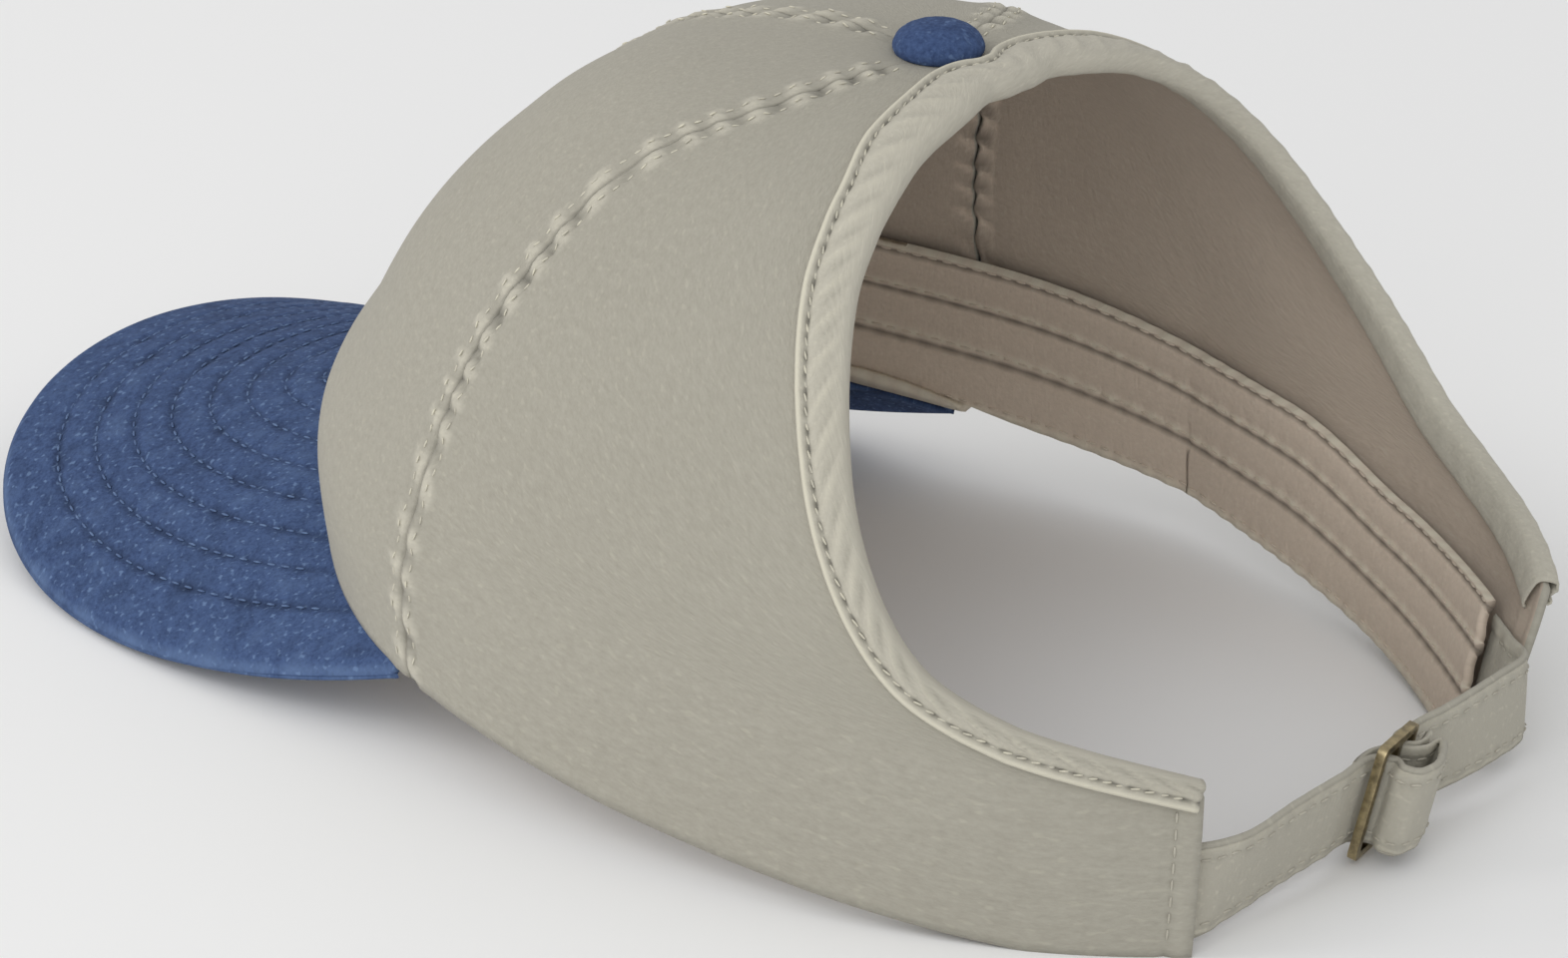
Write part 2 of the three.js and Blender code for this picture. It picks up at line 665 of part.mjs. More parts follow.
// A strap: a band standing along a plan line, which follows the leaning tail at each height
function strapGeometry(linePoints, stepCount) {
  const heightShares = shares(3);
  const lines = heightShares.map((up) => {
    const points = linePoints(up).map((point) => new THREE.Vector3(point.x, point.y, 0));
    return new THREE.CatmullRomCurve3(points, false, 'centripetal');
  });
  const rows = shares(stepCount).map((share) => heightShares.map((up, i) => {
    const middle = lines[i].getPoint(share);
    const ahead = lines[i].getTangent(share);
    const aside = new THREE.Vector3(-ahead.y, ahead.x, 0).multiplyScalar(STRAP_THICKNESS / 2);
    const place = THREE.MathUtils.clamp(middle.x / tailX, -1, 1);
    const lean = STRAP_LEAN * tableValue(STRAP_LINE, 'place', 'lean', place) * (1 - up);
    middle.addScaledVector(new THREE.Vector3(toBack.x, toBack.y, 0), -lean);
    middle.z = strapLow(place) + up * STRAP_HEIGHT;
    return [1, -1].map((face) => middle.clone().addScaledVector(aside, face));
  }));
  return sheetGeometry(rows);
}

const loop = TAIL_LOOP.map((row) => bucklePoint(row.right, row.out * LOOP_REACH));
addPiece('strap_left', strapGeometry((up) => [
  ...strapEnd(1, up),
  ...LEFT_STRAP_RUN.map(runPoint),
  ...loop,
  roundBar(1, 0),
  roundBar(1, -50),
  ...LEFT_STRAP_END.map(runPoint),
], 54), STRAP_CLOTH);

addPiece('strap_right', strapGeometry((up) => [
  bucklePoint(RIGHT_STRAP_END, behindBar),
  ...BAR_TURNS.map((turn) => roundBar(2, turn)),
  ...RIGHT_STRAP_RUN.map(runPoint),
  ...strapEnd(-1, up).reverse(),
], 34), STRAP_CLOTH);

// Buckle: three bars between two rails, with the straps' full height between them, leaning as they do

const windowHeight = STRAP_HEIGHT + 2 * (BUCKLE_GAP + BUCKLE_SLACK);

function roundedRectangle(path, left, low, right, high, radius) {
  path.absarc(right - radius, low + radius, radius, -Math.PI / 2, 0);
  path.absarc(right - radius, high - radius, radius, 0, Math.PI / 2);
  path.absarc(left + radius, high - radius, radius, Math.PI / 2, Math.PI);
  path.absarc(left + radius, low + radius, radius, Math.PI, 1.5 * Math.PI);
  return path;
}

function buckleGeometry() {
  const half = BUCKLE_BAR / 2;
  const right = 2 * BUCKLE_PITCH + half;
  const low = -windowHeight - BUCKLE_BAR;
  const outline = roundedRectangle(new THREE.Shape(), -half, low, right, BUCKLE_BAR, BUCKLE_CORNER + half);
  for (const bar of [0, BUCKLE_PITCH]) {
    const [start, end] = [bar + half, bar + BUCKLE_PITCH - half];
    outline.holes.push(roundedRectangle(new THREE.Path(), start, -windowHeight, end, 0, BUCKLE_CORNER));
  }
  const geometry = new THREE.ExtrudeGeometry(outline, { depth: BUCKLE_BAR, bevelEnabled: false, curveSegments: 3 });
  return geometry.translate(0, 0, -half);
}

const buckle = new THREE.Mesh(buckleGeometry(), BRASS);
buckle.name = 'buckle';
buckle.rotation.set(Math.PI / 2 + Math.atan(STRAP_LEAN / STRAP_HEIGHT), 0, Math.PI + radians(BUCKLE_TURN), 'ZYX');
const buckleOver = BUCKLE_GAP + BUCKLE_SLACK;
const buckleHang = bucklePoint(0, buckleOver * STRAP_LEAN / STRAP_HEIGHT);
buckle.position.set(buckleHang.x, buckleHang.y, strapLow(0) + STRAP_HEIGHT + buckleOver);
cap.add(buckle);

for (const piece of cap.children) piece.position.y += PLAN_CENTRE_Y;

export default cap;
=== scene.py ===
"""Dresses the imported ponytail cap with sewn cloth, thread and metal.

Shapes are worked out in millimetres and written to the meshes in metres. The cap faces -Y, the wearer's
left is +X, and Z is up. Plan angles run from the front, 0, over the left side to the back; the right side's
are negative. Levels run up the crown's curve, from 0 at the rim to 1 at the top.
"""

import math

import bmesh
import bpy
import numpy as np
from bpy.props import FloatProperty, FloatVectorProperty, IntProperty, PointerProperty
from mathutils import Matrix, Vector, noise


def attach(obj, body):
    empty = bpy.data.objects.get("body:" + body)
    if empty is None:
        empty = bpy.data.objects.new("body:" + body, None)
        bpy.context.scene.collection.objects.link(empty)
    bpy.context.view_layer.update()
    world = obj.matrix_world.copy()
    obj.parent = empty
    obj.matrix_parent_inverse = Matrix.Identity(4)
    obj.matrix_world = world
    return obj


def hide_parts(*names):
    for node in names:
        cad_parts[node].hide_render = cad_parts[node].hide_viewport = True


bl_info = {
    "name": "Ponytail cap dressing",
    "version": (1, 0, 0),
    "blender": (4, 5, 0),
    "location": "View3D > Sidebar > Cap",
    "description": "Sewn cloth, thread and metal for a ponytail baseball cap",
    "category": "Object",
}

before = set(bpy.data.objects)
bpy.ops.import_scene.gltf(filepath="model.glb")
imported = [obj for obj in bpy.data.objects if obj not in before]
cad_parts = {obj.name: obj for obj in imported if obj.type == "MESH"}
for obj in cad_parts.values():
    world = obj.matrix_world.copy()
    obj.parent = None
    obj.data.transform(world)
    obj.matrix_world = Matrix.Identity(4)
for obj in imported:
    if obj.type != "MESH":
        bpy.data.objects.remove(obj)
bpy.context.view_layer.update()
MM = 0.001

# Millimetres from the frame's middle back to the crown's plan centre, which all sizes below are taken from
PLAN_CENTRE_Y = 34.845

# Crown sizes, outside
CROWN_WIDTH, CROWN_FRONT, CROWN_BACK, CROWN_HEIGHT = 156.2, 95.8, 105.6, 105.4
PANEL_THICKNESS = 1.4
FRONT_SWELL, TOP_DIP, TOP_DIP_REACH = 3.0, 1.8, 24.0
PLAN_POWER, FRONT_POWER, SIDE_POWER, BACK_POWER = 2.25, 2.0, 2.36, 2.12
RIM_FLAT_FROM_Y, RIM_RISE = 66.0, math.radians(7.45)
TAIL_ANGLE = math.radians(150.6)
TAIL_HEIGHT, TAIL_FADE_LEVEL = 27.2, 0.45
TAIL_FROM_BACKWARD, TAIL_FULL_BACKWARD = 0.15, 0.85
LEFT_TAIL = {"drawn_in": 3.2, "flare": 0.0, "slant": 2.6}
RIGHT_TAIL = {"drawn_in": 16.5, "flare": 8.8, "slant": 6.6}
OPENING_TO_TOP, PANEL_FROM_EDGE, APEX_REACH = 16.6, 1.4, 2.1

# Sweatband
BAND_HEIGHT, BAND_CHANNELS, BAND_SWELL, BAND_THICKNESS = 28.4, 3, 0.9, 1.5
BAND_DEPTH, BAND_LIFT, STRAP_ROOM, TONGUE_ANGLE, BAND_BACK_MARGIN = 2.1, 0.5, 1.9, 6.0, 0.8
BAND_STITCHES = (0.035, 1 / 3, 2 / 3, 0.965)

# Visor
VISOR_LENGTH, VISOR_ANGLE, VISOR_DROOP = 71.2, math.radians(57), math.radians(10.9)
VISOR_TIP_LIFT, VISOR_ARCH, VISOR_GAP = 2.1, 112.0, 0.7
VISOR_TIP_REACH, VISOR_SIDE_REACH, VISOR_SIDE_BOW = 75.0, 47.6, 6.6
VISOR_UPPER, VISOR_LOWER, VISOR_SEAM_DEPTH, VISOR_CORNER_DEPTH = 1.4, 1.1, 4.4, 1.0
VISOR_TOP_DROP = VISOR_GAP - 0.1

# Button
BUTTON_RADIUS, BUTTON_HEIGHT, BUTTON_EDGE, SHANK_RADIUS = 7.0, 4.6, 0.9, 1.5
WASHER_RADIUS, WASHER_THICKNESS = 5.5, 0.8

# Strap and buckle
STRAP_HEIGHT, STRAP_THICKNESS, STRAP_GAP, STRAP_LIFT, STRAP_LEAN = 15.2, 1.2, 0.7, 5.2, 3.2
BUCKLE_X, BUCKLE_BACK, BUCKLE_TURN, BUCKLE_PITCH, BUCKLE_BAR = 8.0, 3.1, math.radians(9), 5.4, 1.4
BUCKLE_GAP, LOOP_REACH, CLEARANCE = 0.4, 7.2, 0.3
VISOR_UNDER_DROP = VISOR_GAP + VISOR_UPPER + CLEARANCE + VISOR_LOWER

# Straps' stone cloth darkened by this share as painted shade, and the buckle's rounded edge
STRAP_PAINTED_SHADE = 0.82
BUCKLE_EDGE = 0.32

# Opening edge by share from the top to a tail: plan angle in degrees, and share of the way up from the tail
OPENING_ANGLES = [(0, 180), (0.06, 157), (0.118, 142), (0.234, 124.5), (0.303, 119.8), (0.38, 116.6),
                  (0.46, 115.3), (0.64, 117.8), (0.82, 126.5), (1, 150.6)]
OPENING_RISES = [(0, 1), (0.06, 0.994), (0.118, 0.955), (0.234, 0.843), (0.303, 0.762), (0.38, 0.66),
                 (0.46, 0.557), (0.64, 0.3), (0.82, 0.087), (1, 0)]
# Binding width outside by share of the edge, in millimetres: it narrows to the tails
BINDING_WIDTHS = [(0, 8.4), (0.12, 10.4), (0.24, 9.8), (0.34, 8.4), (0.5, 7.9), (0.7, 6.5), (0.85, 5.3), (1, 4.6)]
# Front seam's plan angle in degrees, by level
FRONT_SEAM_ANGLES = [(0, 60.4), (0.27, 59), (0.42, 60.1), (0.54, 61.4), (0.67, 65.6), (0.8, 74), (0.92, 81.5),
                     (1, 84)]
# Front profile by level, as shares of the swell
FRONT_SWELLS = [(0, 0), (0.1, 1), (0.24, -0.1), (0.36, 0.05), (0.5, 0.45), (0.68, 1.1), (0.84, 0.5), (1, 0)]
# Sweatband height by plan angle in degrees, as shares of its full height
BAND_HEIGHTS = [(0, 1), (62, 1), (92, 0.94), (106, 0.91), (124, 0.72), (150.6, 0.68)]
# Strap line by place, from -1 at the right tail to 1 at the left one: shares of lift and of lean
STRAP_LIFTS = [(-1, 0.54), (-0.6, 0.8), (-0.2, 0.65), (-0.06, 0.52), (0.26, 0.52), (0.8, 0.25), (1, 0.2)]
STRAP_LEANS = [(-1, 0), (-0.6, 0), (-0.2, 0.6), (-0.06, 1), (0.26, 1), (0.8, 1), (1, 0)]
# Strap routes by the buckle: bar pitches to the right of its left bar, and layers towards the head
LEFT_RUN = [(-5.5, 3.9), (-3.2, 2.3), (-1.2, 0.8), (0.25, 0)]
LEFT_END = [(0.6, 1), (-0.25, 1)]
RIGHT_RUN = [(4.1, -1.9), (6.5, -3.3), (8.1, -3.6), (8.85, -2.7)]
RIGHT_END = 2.5
BAR_TURNS = [90, 135, 180, 225, 270]
# Loop of the strap's tail: bar pitches to the right, and share of the loop's reach
TAIL_LOOP = [(0.45, 0.2), (0.1, 0.48), (0.12, 0.83), (0.5, 0.97), (1.05, 1), (1.65, 0.88), (2.05, 0.77),
             (2.28, 0.66), (2.27, 0.54), (2.05, 0.48), (1.75, 0.45), (1.45, 0.28)]

# Binding section: millimetres in from the opening's edge, and height over the panel's outer face
BINDING_SECTION = [(9.3, 0.15), (9.55, 0.7), (9.45, 1.25), (9.0, 1.62), (8.5, 1.55), (8.2, 1.2), (7.9, 1.02),
                   (7.5, 1.12), (6.9, 1.3), (6.0, 1.42), (5.0, 1.46), (4.0, 1.46), (3.0, 1.44), (2.0, 1.4),
                   (1.2, 1.3), (0.5, 1.0), (0.1, 0.4), (0.0, -0.4), (0.05, -1.2), (0.4, -2.0), (1.0, -2.5),
                   (2.0, -2.75), (3.2, -2.85), (4.4, -2.85), (5.4, -2.75), (6.0, -2.4), (6.2, -1.9)]

# Camera fitted to the photograph: degrees, and millimetres from its centre
CAMERA = {"azimuth": 127.601, "elevation": 22.807, "roll": 1.446, "distance": 963.47,
          "aside": -5.558, "above": 27.202, "focal": 6191.46}
CAMERA_CENTRE = Vector((0.0, -35.0, 55.0))
PHOTO_WIDTH = 1571


def table_value(rows, at):
    """A table's value at a place, by a smooth curve through its rows that never overshoots them."""
    place, value = np.array(rows, float).T
    at = np.asarray(at, float)
    spans = np.diff(place)
    slopes = np.diff(value) / spans
    tangents = np.concatenate([slopes[:1], np.zeros(len(slopes) - 1), slopes[-1:]])
    same = slopes[:-1] * slopes[1:] > 0
    tangents[1:-1][same] = (2 * slopes[:-1] * slopes[1:])[same] / (slopes[:-1] + slopes[1:])[same]
    i = np.clip(np.searchsorted(place, at, side="left") - 1, 0, len(spans) - 1)
    t = np.clip((at - place[i]) / spans[i], 0, 1)
    start = (1 + 2 * t) * (1 - t) ** 2 * value[i] + t * (1 - t) ** 2 * spans[i] * tangents[i]
    end = t * t * (3 - 2 * t) * value[i + 1] + t * t * (t - 1) * spans[i] * tangents[i + 1]
    return start + end


def smooth_step(value, low, high):
    share = np.clip((np.asarray(value, float) - low) / (high - low), 0, 1)
    return share * share * (3 - 2 * share)


def hump(value, middle, width):
    return np.exp(-(((value - middle) / width) ** 2))


def lerp(start, end, share):
    return start + (end - start) * share


def unit(vectors):
    return vectors / np.maximum(np.linalg.norm(vectors, axis=-1, keepdims=True), 1e-9)


def lengths_along(points):
    steps = np.linalg.norm(np.diff(points, axis=0), axis=-1)
    return np.concatenate([[0.0], np.cumsum(steps)])


# Rim, visor surface and crown surface


def rim_plan(angle):
    forward, sideways = np.cos(angle), np.sin(angle)
    length = np.where(forward > 0, CROWN_FRONT, CROWN_BACK)
    total = np.abs(forward / length) ** PLAN_POWER + np.abs(sideways / (CROWN_WIDTH / 2)) ** PLAN_POWER
    reach = total ** (-1 / PLAN_POWER)
    return reach * sideways, -reach * forward


VISOR_CORNER = tuple(float(v) for v in rim_plan(VISOR_ANGLE))
VISOR_TIP_Y = -(CROWN_FRONT + VISOR_LENGTH)


def rising_rim(y):
    return math.tan(RIM_RISE) * np.maximum(0, RIM_FLAT_FROM_Y - y)


def arch_height(x):
    return np.sqrt(np.maximum(VISOR_ARCH**2 - np.asarray(x) ** 2, 0))


def visor_surface(x, y):
    corner_x, corner_y = VISOR_CORNER
    forward = corner_y - y
    lift = VISOR_TIP_LIFT * (np.maximum(0, forward) / (corner_y - VISOR_TIP_Y)) ** 2
    arch = arch_height(x) - arch_height(corner_x)
    return rising_rim(corner_y) - math.tan(VISOR_DROOP) * forward + arch + lift


def rim_height(angle, x, y):
    return np.where(np.cos(angle) > math.cos(VISOR_ANGLE), visor_surface(x, y), rising_rim(y))


def crown_point(angle, level):
    angle, level = np.broadcast_arrays(np.asarray(angle, float), np.asarray(level, float))
    rim_x, rim_y = rim_plan(angle)
    rim_length = np.hypot(rim_x, rim_y)
    forward = np.cos(angle)
    power = lerp(SIDE_POWER, np.where(forward > 0, FRONT_POWER, BACK_POWER), forward**2)
    turn = level * math.pi / 2
    cosine = np.maximum(np.cos(turn), 0)
    sine = np.maximum(np.sin(turn), 0)
    base = rim_height(angle, rim_x, rim_y)
    swell = FRONT_SWELL * np.maximum(0, forward) * table_value(FRONT_SWELLS, level)
    left = rim_x > 0
    backward = np.maximum(0, -forward)
    fade = np.maximum(0, 1 - level / TAIL_FADE_LEVEL) ** 2
    drawn_in = np.where(left, LEFT_TAIL["drawn_in"], RIGHT_TAIL["drawn_in"])
    drawn = drawn_in * np.minimum(1, backward / TAIL_FULL_BACKWARD) * fade
    near_tail = smooth_step(backward, TAIL_FROM_BACKWARD, TAIL_FULL_BACKWARD)
    flare = np.where(left, LEFT_TAIL["flare"], RIGHT_TAIL["flare"]) * near_tail
    flare = flare * np.sin(math.pi * np.minimum(level / TAIL_FADE_LEVEL, 1)) ** 2
    reach = cosine ** (2 / power) + swell * cosine / rim_length
    dip = TOP_DIP * np.maximum(0, 1 - reach * rim_length / TOP_DIP_REACH) ** 2
    height = lerp(base, CROWN_HEIGHT, sine ** (2 / power)) + swell * sine - dip
    return np.stack([rim_x * reach + np.sign(rim_x) * (flare - drawn), rim_y * reach, height], axis=-1)


def crown_frame(angle, level):
    """Steps across and up the crown for a radian and a whole level, and the outward normal."""
    step = 0.003
    low = np.maximum(0, np.asarray(level, float) - step)
    across = (crown_point(angle + step, level) - crown_point(angle - step, level)) / (2 * step)
    up = (crown_point(angle, level + step) - crown_point(angle, low)) / (level + step - low)[..., None]
    return across, up, unit(np.cross(across, up))


def over_crown(angle, level, height):
    """Points over the crown's outer surface, or under it where height is negative."""
    angle, level = np.broadcast_arrays(np.asarray(angle, float), np.asarray(level, float))
    normal = crown_frame(angle, level)[2]
    point = crown_point(angle, level) + normal * np.asarray(height, float)[..., None]
    on_rim = level <= 0
    point[..., 2] = np.where(on_rim, rim_height(angle, point[..., 0], point[..., 1]), point[..., 2])
    return point, normal


def plan_reach(angle, level):
    return np.hypot(*np.moveaxis(crown_point(angle, level)[..., :2], -1, 0))


def solve_level(value, low, high, measure):
    """Levels where a measure that rises or falls with the level passes a value."""
    value = np.asarray(value, float)
    start, end = np.full(value.shape, float(low)), np.full(value.shape, float(high))
    rising = measure(end) > measure(start)
    for _ in range(40):
        middle = (start + end) / 2
        first = (measure(middle) < value) == rising
        start, end = np.where(first, middle, start), np.where(first, end, middle)
    return (start + end) / 2


def level_at_height(angle, height):
    angle, height = np.broadcast_arrays(np.asarray(angle, float), np.asarray(height, float))
    base = crown_point(angle, np.zeros_like(angle))[..., 2]
    return solve_level(base + height, 0, 0.9, lambda level: crown_point(angle, level)[..., 2])


def level_at_reach(angle, reach):
    angle, reach = np.broadcast_arrays(np.asarray(angle, float), np.asarray(reach, float))
    return solve_level(reach, 0.3, 1, lambda level: plan_reach(angle, level))


TAIL_LEVEL = float(level_at_height(TAIL_ANGLE, TAIL_HEIGHT))
OPENING_TOP_LEVEL = float(level_at_reach(math.pi, OPENING_TO_TOP))
APEX_LEVEL = float(level_at_reach(0.0, APEX_REACH))


def opening_place(along):
    """Angle and level of the opening's edge, from -1 at the right tail over 0 at the top to 1 at the left tail."""
    angle = np.radians(table_value(OPENING_ANGLES, np.abs(along)))
    rise = table_value(OPENING_RISES, np.abs(along))
    return np.where(along < 0, 2 * math.pi - angle, angle), lerp(TAIL_LEVEL, OPENING_TOP_LEVEL, rise)


def walk_over(angle, level, direction, distance):
    steps = 3
    for _ in range(steps):
        across, up, _ = crown_frame(angle, level)
        aa, ab, bb = (across * across).sum(-1), (across * up).sum(-1), (up * up).sum(-1)
        ad, bd = (across * direction).sum(-1), (up * direction).sum(-1)
        scale = distance / steps / (aa * bb - ab * ab)
        angle = angle + (ad * bb - bd * ab) * scale
        level = level + (bd * aa - ad * ab) * scale
    return angle, level


def beside_opening(along, distance):
    """Places at a distance in from the opening's edge, at right angles to it."""
    along = np.asarray(along, float)
    step = 0.01
    start = opening_place(np.maximum(-1, along - step))
    end = opening_place(np.minimum(1, along + step))
    edge = crown_point(*end) - crown_point(*start)
    angle, level = opening_place(along)
    inward = unit(np.cross(edge, crown_frame(angle, level)[2]))
    return walk_over(angle, level, inward, distance)


def tail_end_angle(tail, level):
    rim = float(np.hypot(*rim_plan(TAIL_ANGLE)))
    return TAIL_ANGLE - tail["slant"] / rim * np.maximum(0, 1 - np.asarray(level, float) / TAIL_LEVEL)


# Cloth relief: how far folds, seams and puckers stand over the plain surface, in millimetres


def soft_waves(points, size, seed):
    """Smooth uneven waves of one size over points in space, from about -1 to 1."""
    shift = Vector((13.7 * seed, 5.1 * seed, 9.3 * seed))
    flat = points.reshape(-1, 3) / size
    values = [noise.noise(Vector(point) + shift) for point in flat]
    return np.array(values).reshape(points.shape[:-1]) * 1.6


def eased(points, count):
    """Rows of points, each point the mean of its neighbours along the row, taken twice over count stations."""
    kernel = np.ones(count) / count
    for _ in range(2):
        wide = np.pad(points, ((0, 0), (count // 2, count // 2), (0, 0)), mode="edge")
        points = np.apply_along_axis(np.convolve, 1, wide, kernel, "valid")
    return points


def seam_relief(distance, along, settings):
    """A topstitched seam: a groove, the raised allowance beside it, a stitch line in it, and puckers past it."""
    away = np.abs(distance)
    groove = -0.13 * hump(away, 0, 0.45)
    raised = 0.22 * (1 - smooth_step(away, 2.6, 6.8))
    pull = 0.5 + 0.5 * np.cos(2 * math.pi * along / (settings.stitch_pitch / MM))
    stitched = -(0.1 + 0.14 * pull) * hump(away, settings.seam_row / MM, 0.5)
    wander = 1.7 * np.sin(along / 9.1) + 1.1 * np.sin(along / 4.3 + 1)
    turn = 2 * math.pi * (along + 0.5 * distance) / 6.6 + wander
    pucker = (0.5 + 0.5 * np.sin(turn)) ** 2
    pit = (0.5 - 0.5 * np.sin(turn)) ** 3 * (0.7 + 0.3 * np.sin(along / 11 + 2))
    ripple = settings.pucker / MM * (pucker * hump(away, 1.6, 1.7) - 1.3 * pit * hump(distance, 0.9, 1.3))
    return groove + raised + stitched + ripple


def front_seam(level):
    return np.radians(table_value(FRONT_SEAM_ANGLES, level))


def seam_length_table():
    levels = np.linspace(0, APEX_LEVEL, 240)
    return levels, lengths_along(crown_point(front_seam(levels), levels))


SEAM_LEVELS, SEAM_LENGTHS = seam_length_table()


def crown_relief(angle, level, settings, soft=1):
    """Relief of the crown's outer cloth at a plan angle and level: soft is the share of its broad waves."""
    angle, level = np.broadcast_arrays(np.asarray(angle, float), np.asarray(level, float))
    points = crown_point(angle, level)
    reach = np.hypot(points[..., 0], points[..., 1])
    along = np.interp(level, SEAM_LEVELS, SEAM_LENGTHS)
    turned = np.arctan2(np.sin(angle), np.cos(angle))
    narrow = smooth_step(reach, 5, 16)
    relief = np.zeros(angle.shape)
    seam = front_seam(level)
    for place, side, phase in ((0.0, 1, 0.0), (seam, 1, 3.1), (-seam, -1, 7.7), (math.pi, 1, 1.3)):
        away = side * np.arctan2(np.sin(turned - place), np.cos(turned - place)) * reach
        relief += seam_relief(away, along + phase, settings) * narrow * (1 - smooth_step(np.abs(away), 9, 12))
    free = 0.25 + 0.75 * smooth_step(level, 0.02, 0.2)
    waves = 0.42 * soft_waves(points, 36, 1) + 0.2 * soft_waves(points, 12, 2)
    return relief + soft * waves * settings.softness / MM * free * narrow


# Mesh makers


def grid_sheet(name, points, flat, outward, wear_and_painted_light=None, mark_attribute="wear_and_painted_light"):
    """A sheet through rows of points in millimetres, its UV map its flat cloth coordinates in metres."""
    rows, columns = points.shape[:2]
    bm = bmesh.new()
    bmesh.ops.create_grid(bm, x_segments=columns - 1, y_segments=rows - 1, size=1.0)
    mesh = bpy.data.meshes.new(name)
    bm.to_mesh(mesh)
    bm.free()
    count = len(mesh.vertices)
    place = np.empty(3 * count)
    mesh.vertices.foreach_get("co", place)
    place = place.reshape(-1, 3)
    span = place.max(0) - place.min(0)
    column = np.rint((place[:, 0] - place[:, 0].min()) / span[0] * (columns - 1)).astype(int)
    row = np.rint((place[:, 1] - place[:, 1].min()) / span[1] * (rows - 1)).astype(int)
    mesh.vertices.foreach_set("co", (points[row, column] * MM).ravel())
    corners = np.empty(len(mesh.loops), int)
    mesh.loops.foreach_get("vertex_index", corners)
    uv = mesh.uv_layers.new(name="cloth")
    uv.data.foreach_set("uv", (flat[row, column] * MM)[corners].ravel())
    # The marks, kept as a point attribute: painted highlight on raised places and painted shade in hollows, with some
    # wear
    if wear_and_painted_light is not None:
        layer = mesh.attributes.new(mark_attribute, "FLOAT", "POINT")
        layer.data.foreach_set("value", wear_and_painted_light[row, column].astype(np.float32))
    mesh.update()
    normals = np.empty(3 * count)
    mesh.vertex_normals.foreach_get("vector", normals)
    facing = (normals.reshape(-1, 3) * outward[row, column]).sum()
    if facing < 0:
        mesh.flip_normals()
    mesh.polygons.foreach_set("use_smooth", np.ones(len(mesh.polygons), bool))
    piece = bpy.data.objects.new(name, mesh)
    bpy.context.scene.collection.objects.link(piece)
    return piece


def flat_coordinates(points):
    """Cloth coordinates of a sheet's points: lengths along its middle row and down each column."""
    middle = points[points.shape[0] // 2]
    across = lengths_along(middle)
    steps = np.linalg.norm(np.diff(points, axis=0), axis=-1)
    down = np.vstack([np.zeros((1, points.shape[1])), np.cumsum(steps, axis=0)])
    return np.stack([np.broadcast_to(across, down.shape), down], axis=-1)


def thicken(piece, wall, inner_material=0):
    """Gives a sheet a wall under its outward face, with rounded-off shading."""
    solid = piece.modifiers.new("Wall", "SOLIDIFY")
    solid.thickness = wall
    solid.offset = -1
    solid.use_quality_normals = True
    solid.material_offset = inner_material


def resampled(points, normals, pitch, start=0.5):
    """Middles, directions and normals of stitches at an even pitch along a line."""
    lengths = lengths_along(points)
    count = max(1, int((lengths[-1] - start * pitch) / pitch))
    at = start * pitch + pitch * np.arange(count)
    def pick(values, where):
        return np.stack([np.interp(where, lengths, values[:, axis]) for axis in range(3)], axis=-1)
    ahead = unit(pick(points, at + pitch / 4) - pick(points, at - pitch / 4))
    return pick(points, at), ahead, unit(pick(normals, at))


def sew(bm, points, normals, pitch, length, width, height, slant=0.0):
    """Adds a row of stitches to a bmesh: each a rounded bead of thread along the line, in millimetres."""
    middles, aheads, ups = resampled(points, normals, pitch)
    for middle, ahead, up in zip(middles, aheads, ups):
        side = np.cross(up, ahead)
        if slant:
            ahead = unit(ahead + slant * side)
            side = np.cross(up, ahead)
        axes = np.stack([side * width, up * height, ahead * length], axis=-1) * MM
        placed = Matrix.Identity(4)
        for row in range(3):
            for column in range(3):
                placed[row][column] = axes[row][column]
            placed[row][3] = middle[row] * MM
        bmesh.ops.create_uvsphere(bm, u_segments=6, v_segments=4, radius=0.5, matrix=placed)


def smooth_piece(name, bm):
    """A new object from a bmesh, smooth and with its faces outwards."""
    bmesh.ops.recalc_face_normals(bm, faces=bm.faces)
    mesh = bpy.data.meshes.new(name)
    bm.to_mesh(mesh)
    bm.free()
    mesh.polygons.foreach_set("use_smooth", np.ones(len(mesh.polygons), bool))
    piece = bpy.data.objects.new(name, mesh)
    bpy.context.scene.collection.objects.link(piece)
    return piece


def thread_piece(name, bm, material):
    finish_piece(smooth_piece(name, bm), [material])


def finish_piece(piece, materials, replaces=()):
    """Move a piece from the crown's plan centre into the frame, and hang its materials and its body on it."""
    for material in materials:
        piece.data.materials.append(material)
    piece.data.transform(Matrix.Translation((0, PLAN_CENTRE_Y * MM, 0)))
    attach(piece, "root")
    if replaces:
        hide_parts(*replaces)


# Shader node groups and materials


def new_group(name, inputs, outputs):
    tree = bpy.data.node_groups.new(name, "ShaderNodeTree")
    for label, kind, default in inputs:
        socket = tree.interface.new_socket(label, in_out="INPUT", socket_type=kind)
        if default is not None:
            socket.default_value = default
    for label, kind in outputs:
        tree.interface.new_socket(label, in_out="OUTPUT", socket_type=kind)
    return tree, tree.nodes.new("NodeGroupInput"), tree.nodes.new("NodeGroupOutput")


def math_node(tree, operation, first, second=None):
    node = tree.nodes.new("ShaderNodeMath")
    node.operation = operation
    for index, value in enumerate((first, second)):
        if value is None:
            continue
        if isinstance(value, (int, float)):
            node.inputs[index].default_value = value
        else:
            tree.links.new(value, node.inputs[index])
    return node.outputs[0]


def noise_node(tree, vector, scale, detail=2.0, roughness=0.5):
    node = tree.nodes.new("ShaderNodeTexNoise")
    node.inputs["Scale"].default_value = scale
    node.inputs["Detail"].default_value = detail
    node.inputs["Roughness"].default_value = roughness
    tree.links.new(vector, node.inputs["Vector"])
    return node.outputs["Fac"]


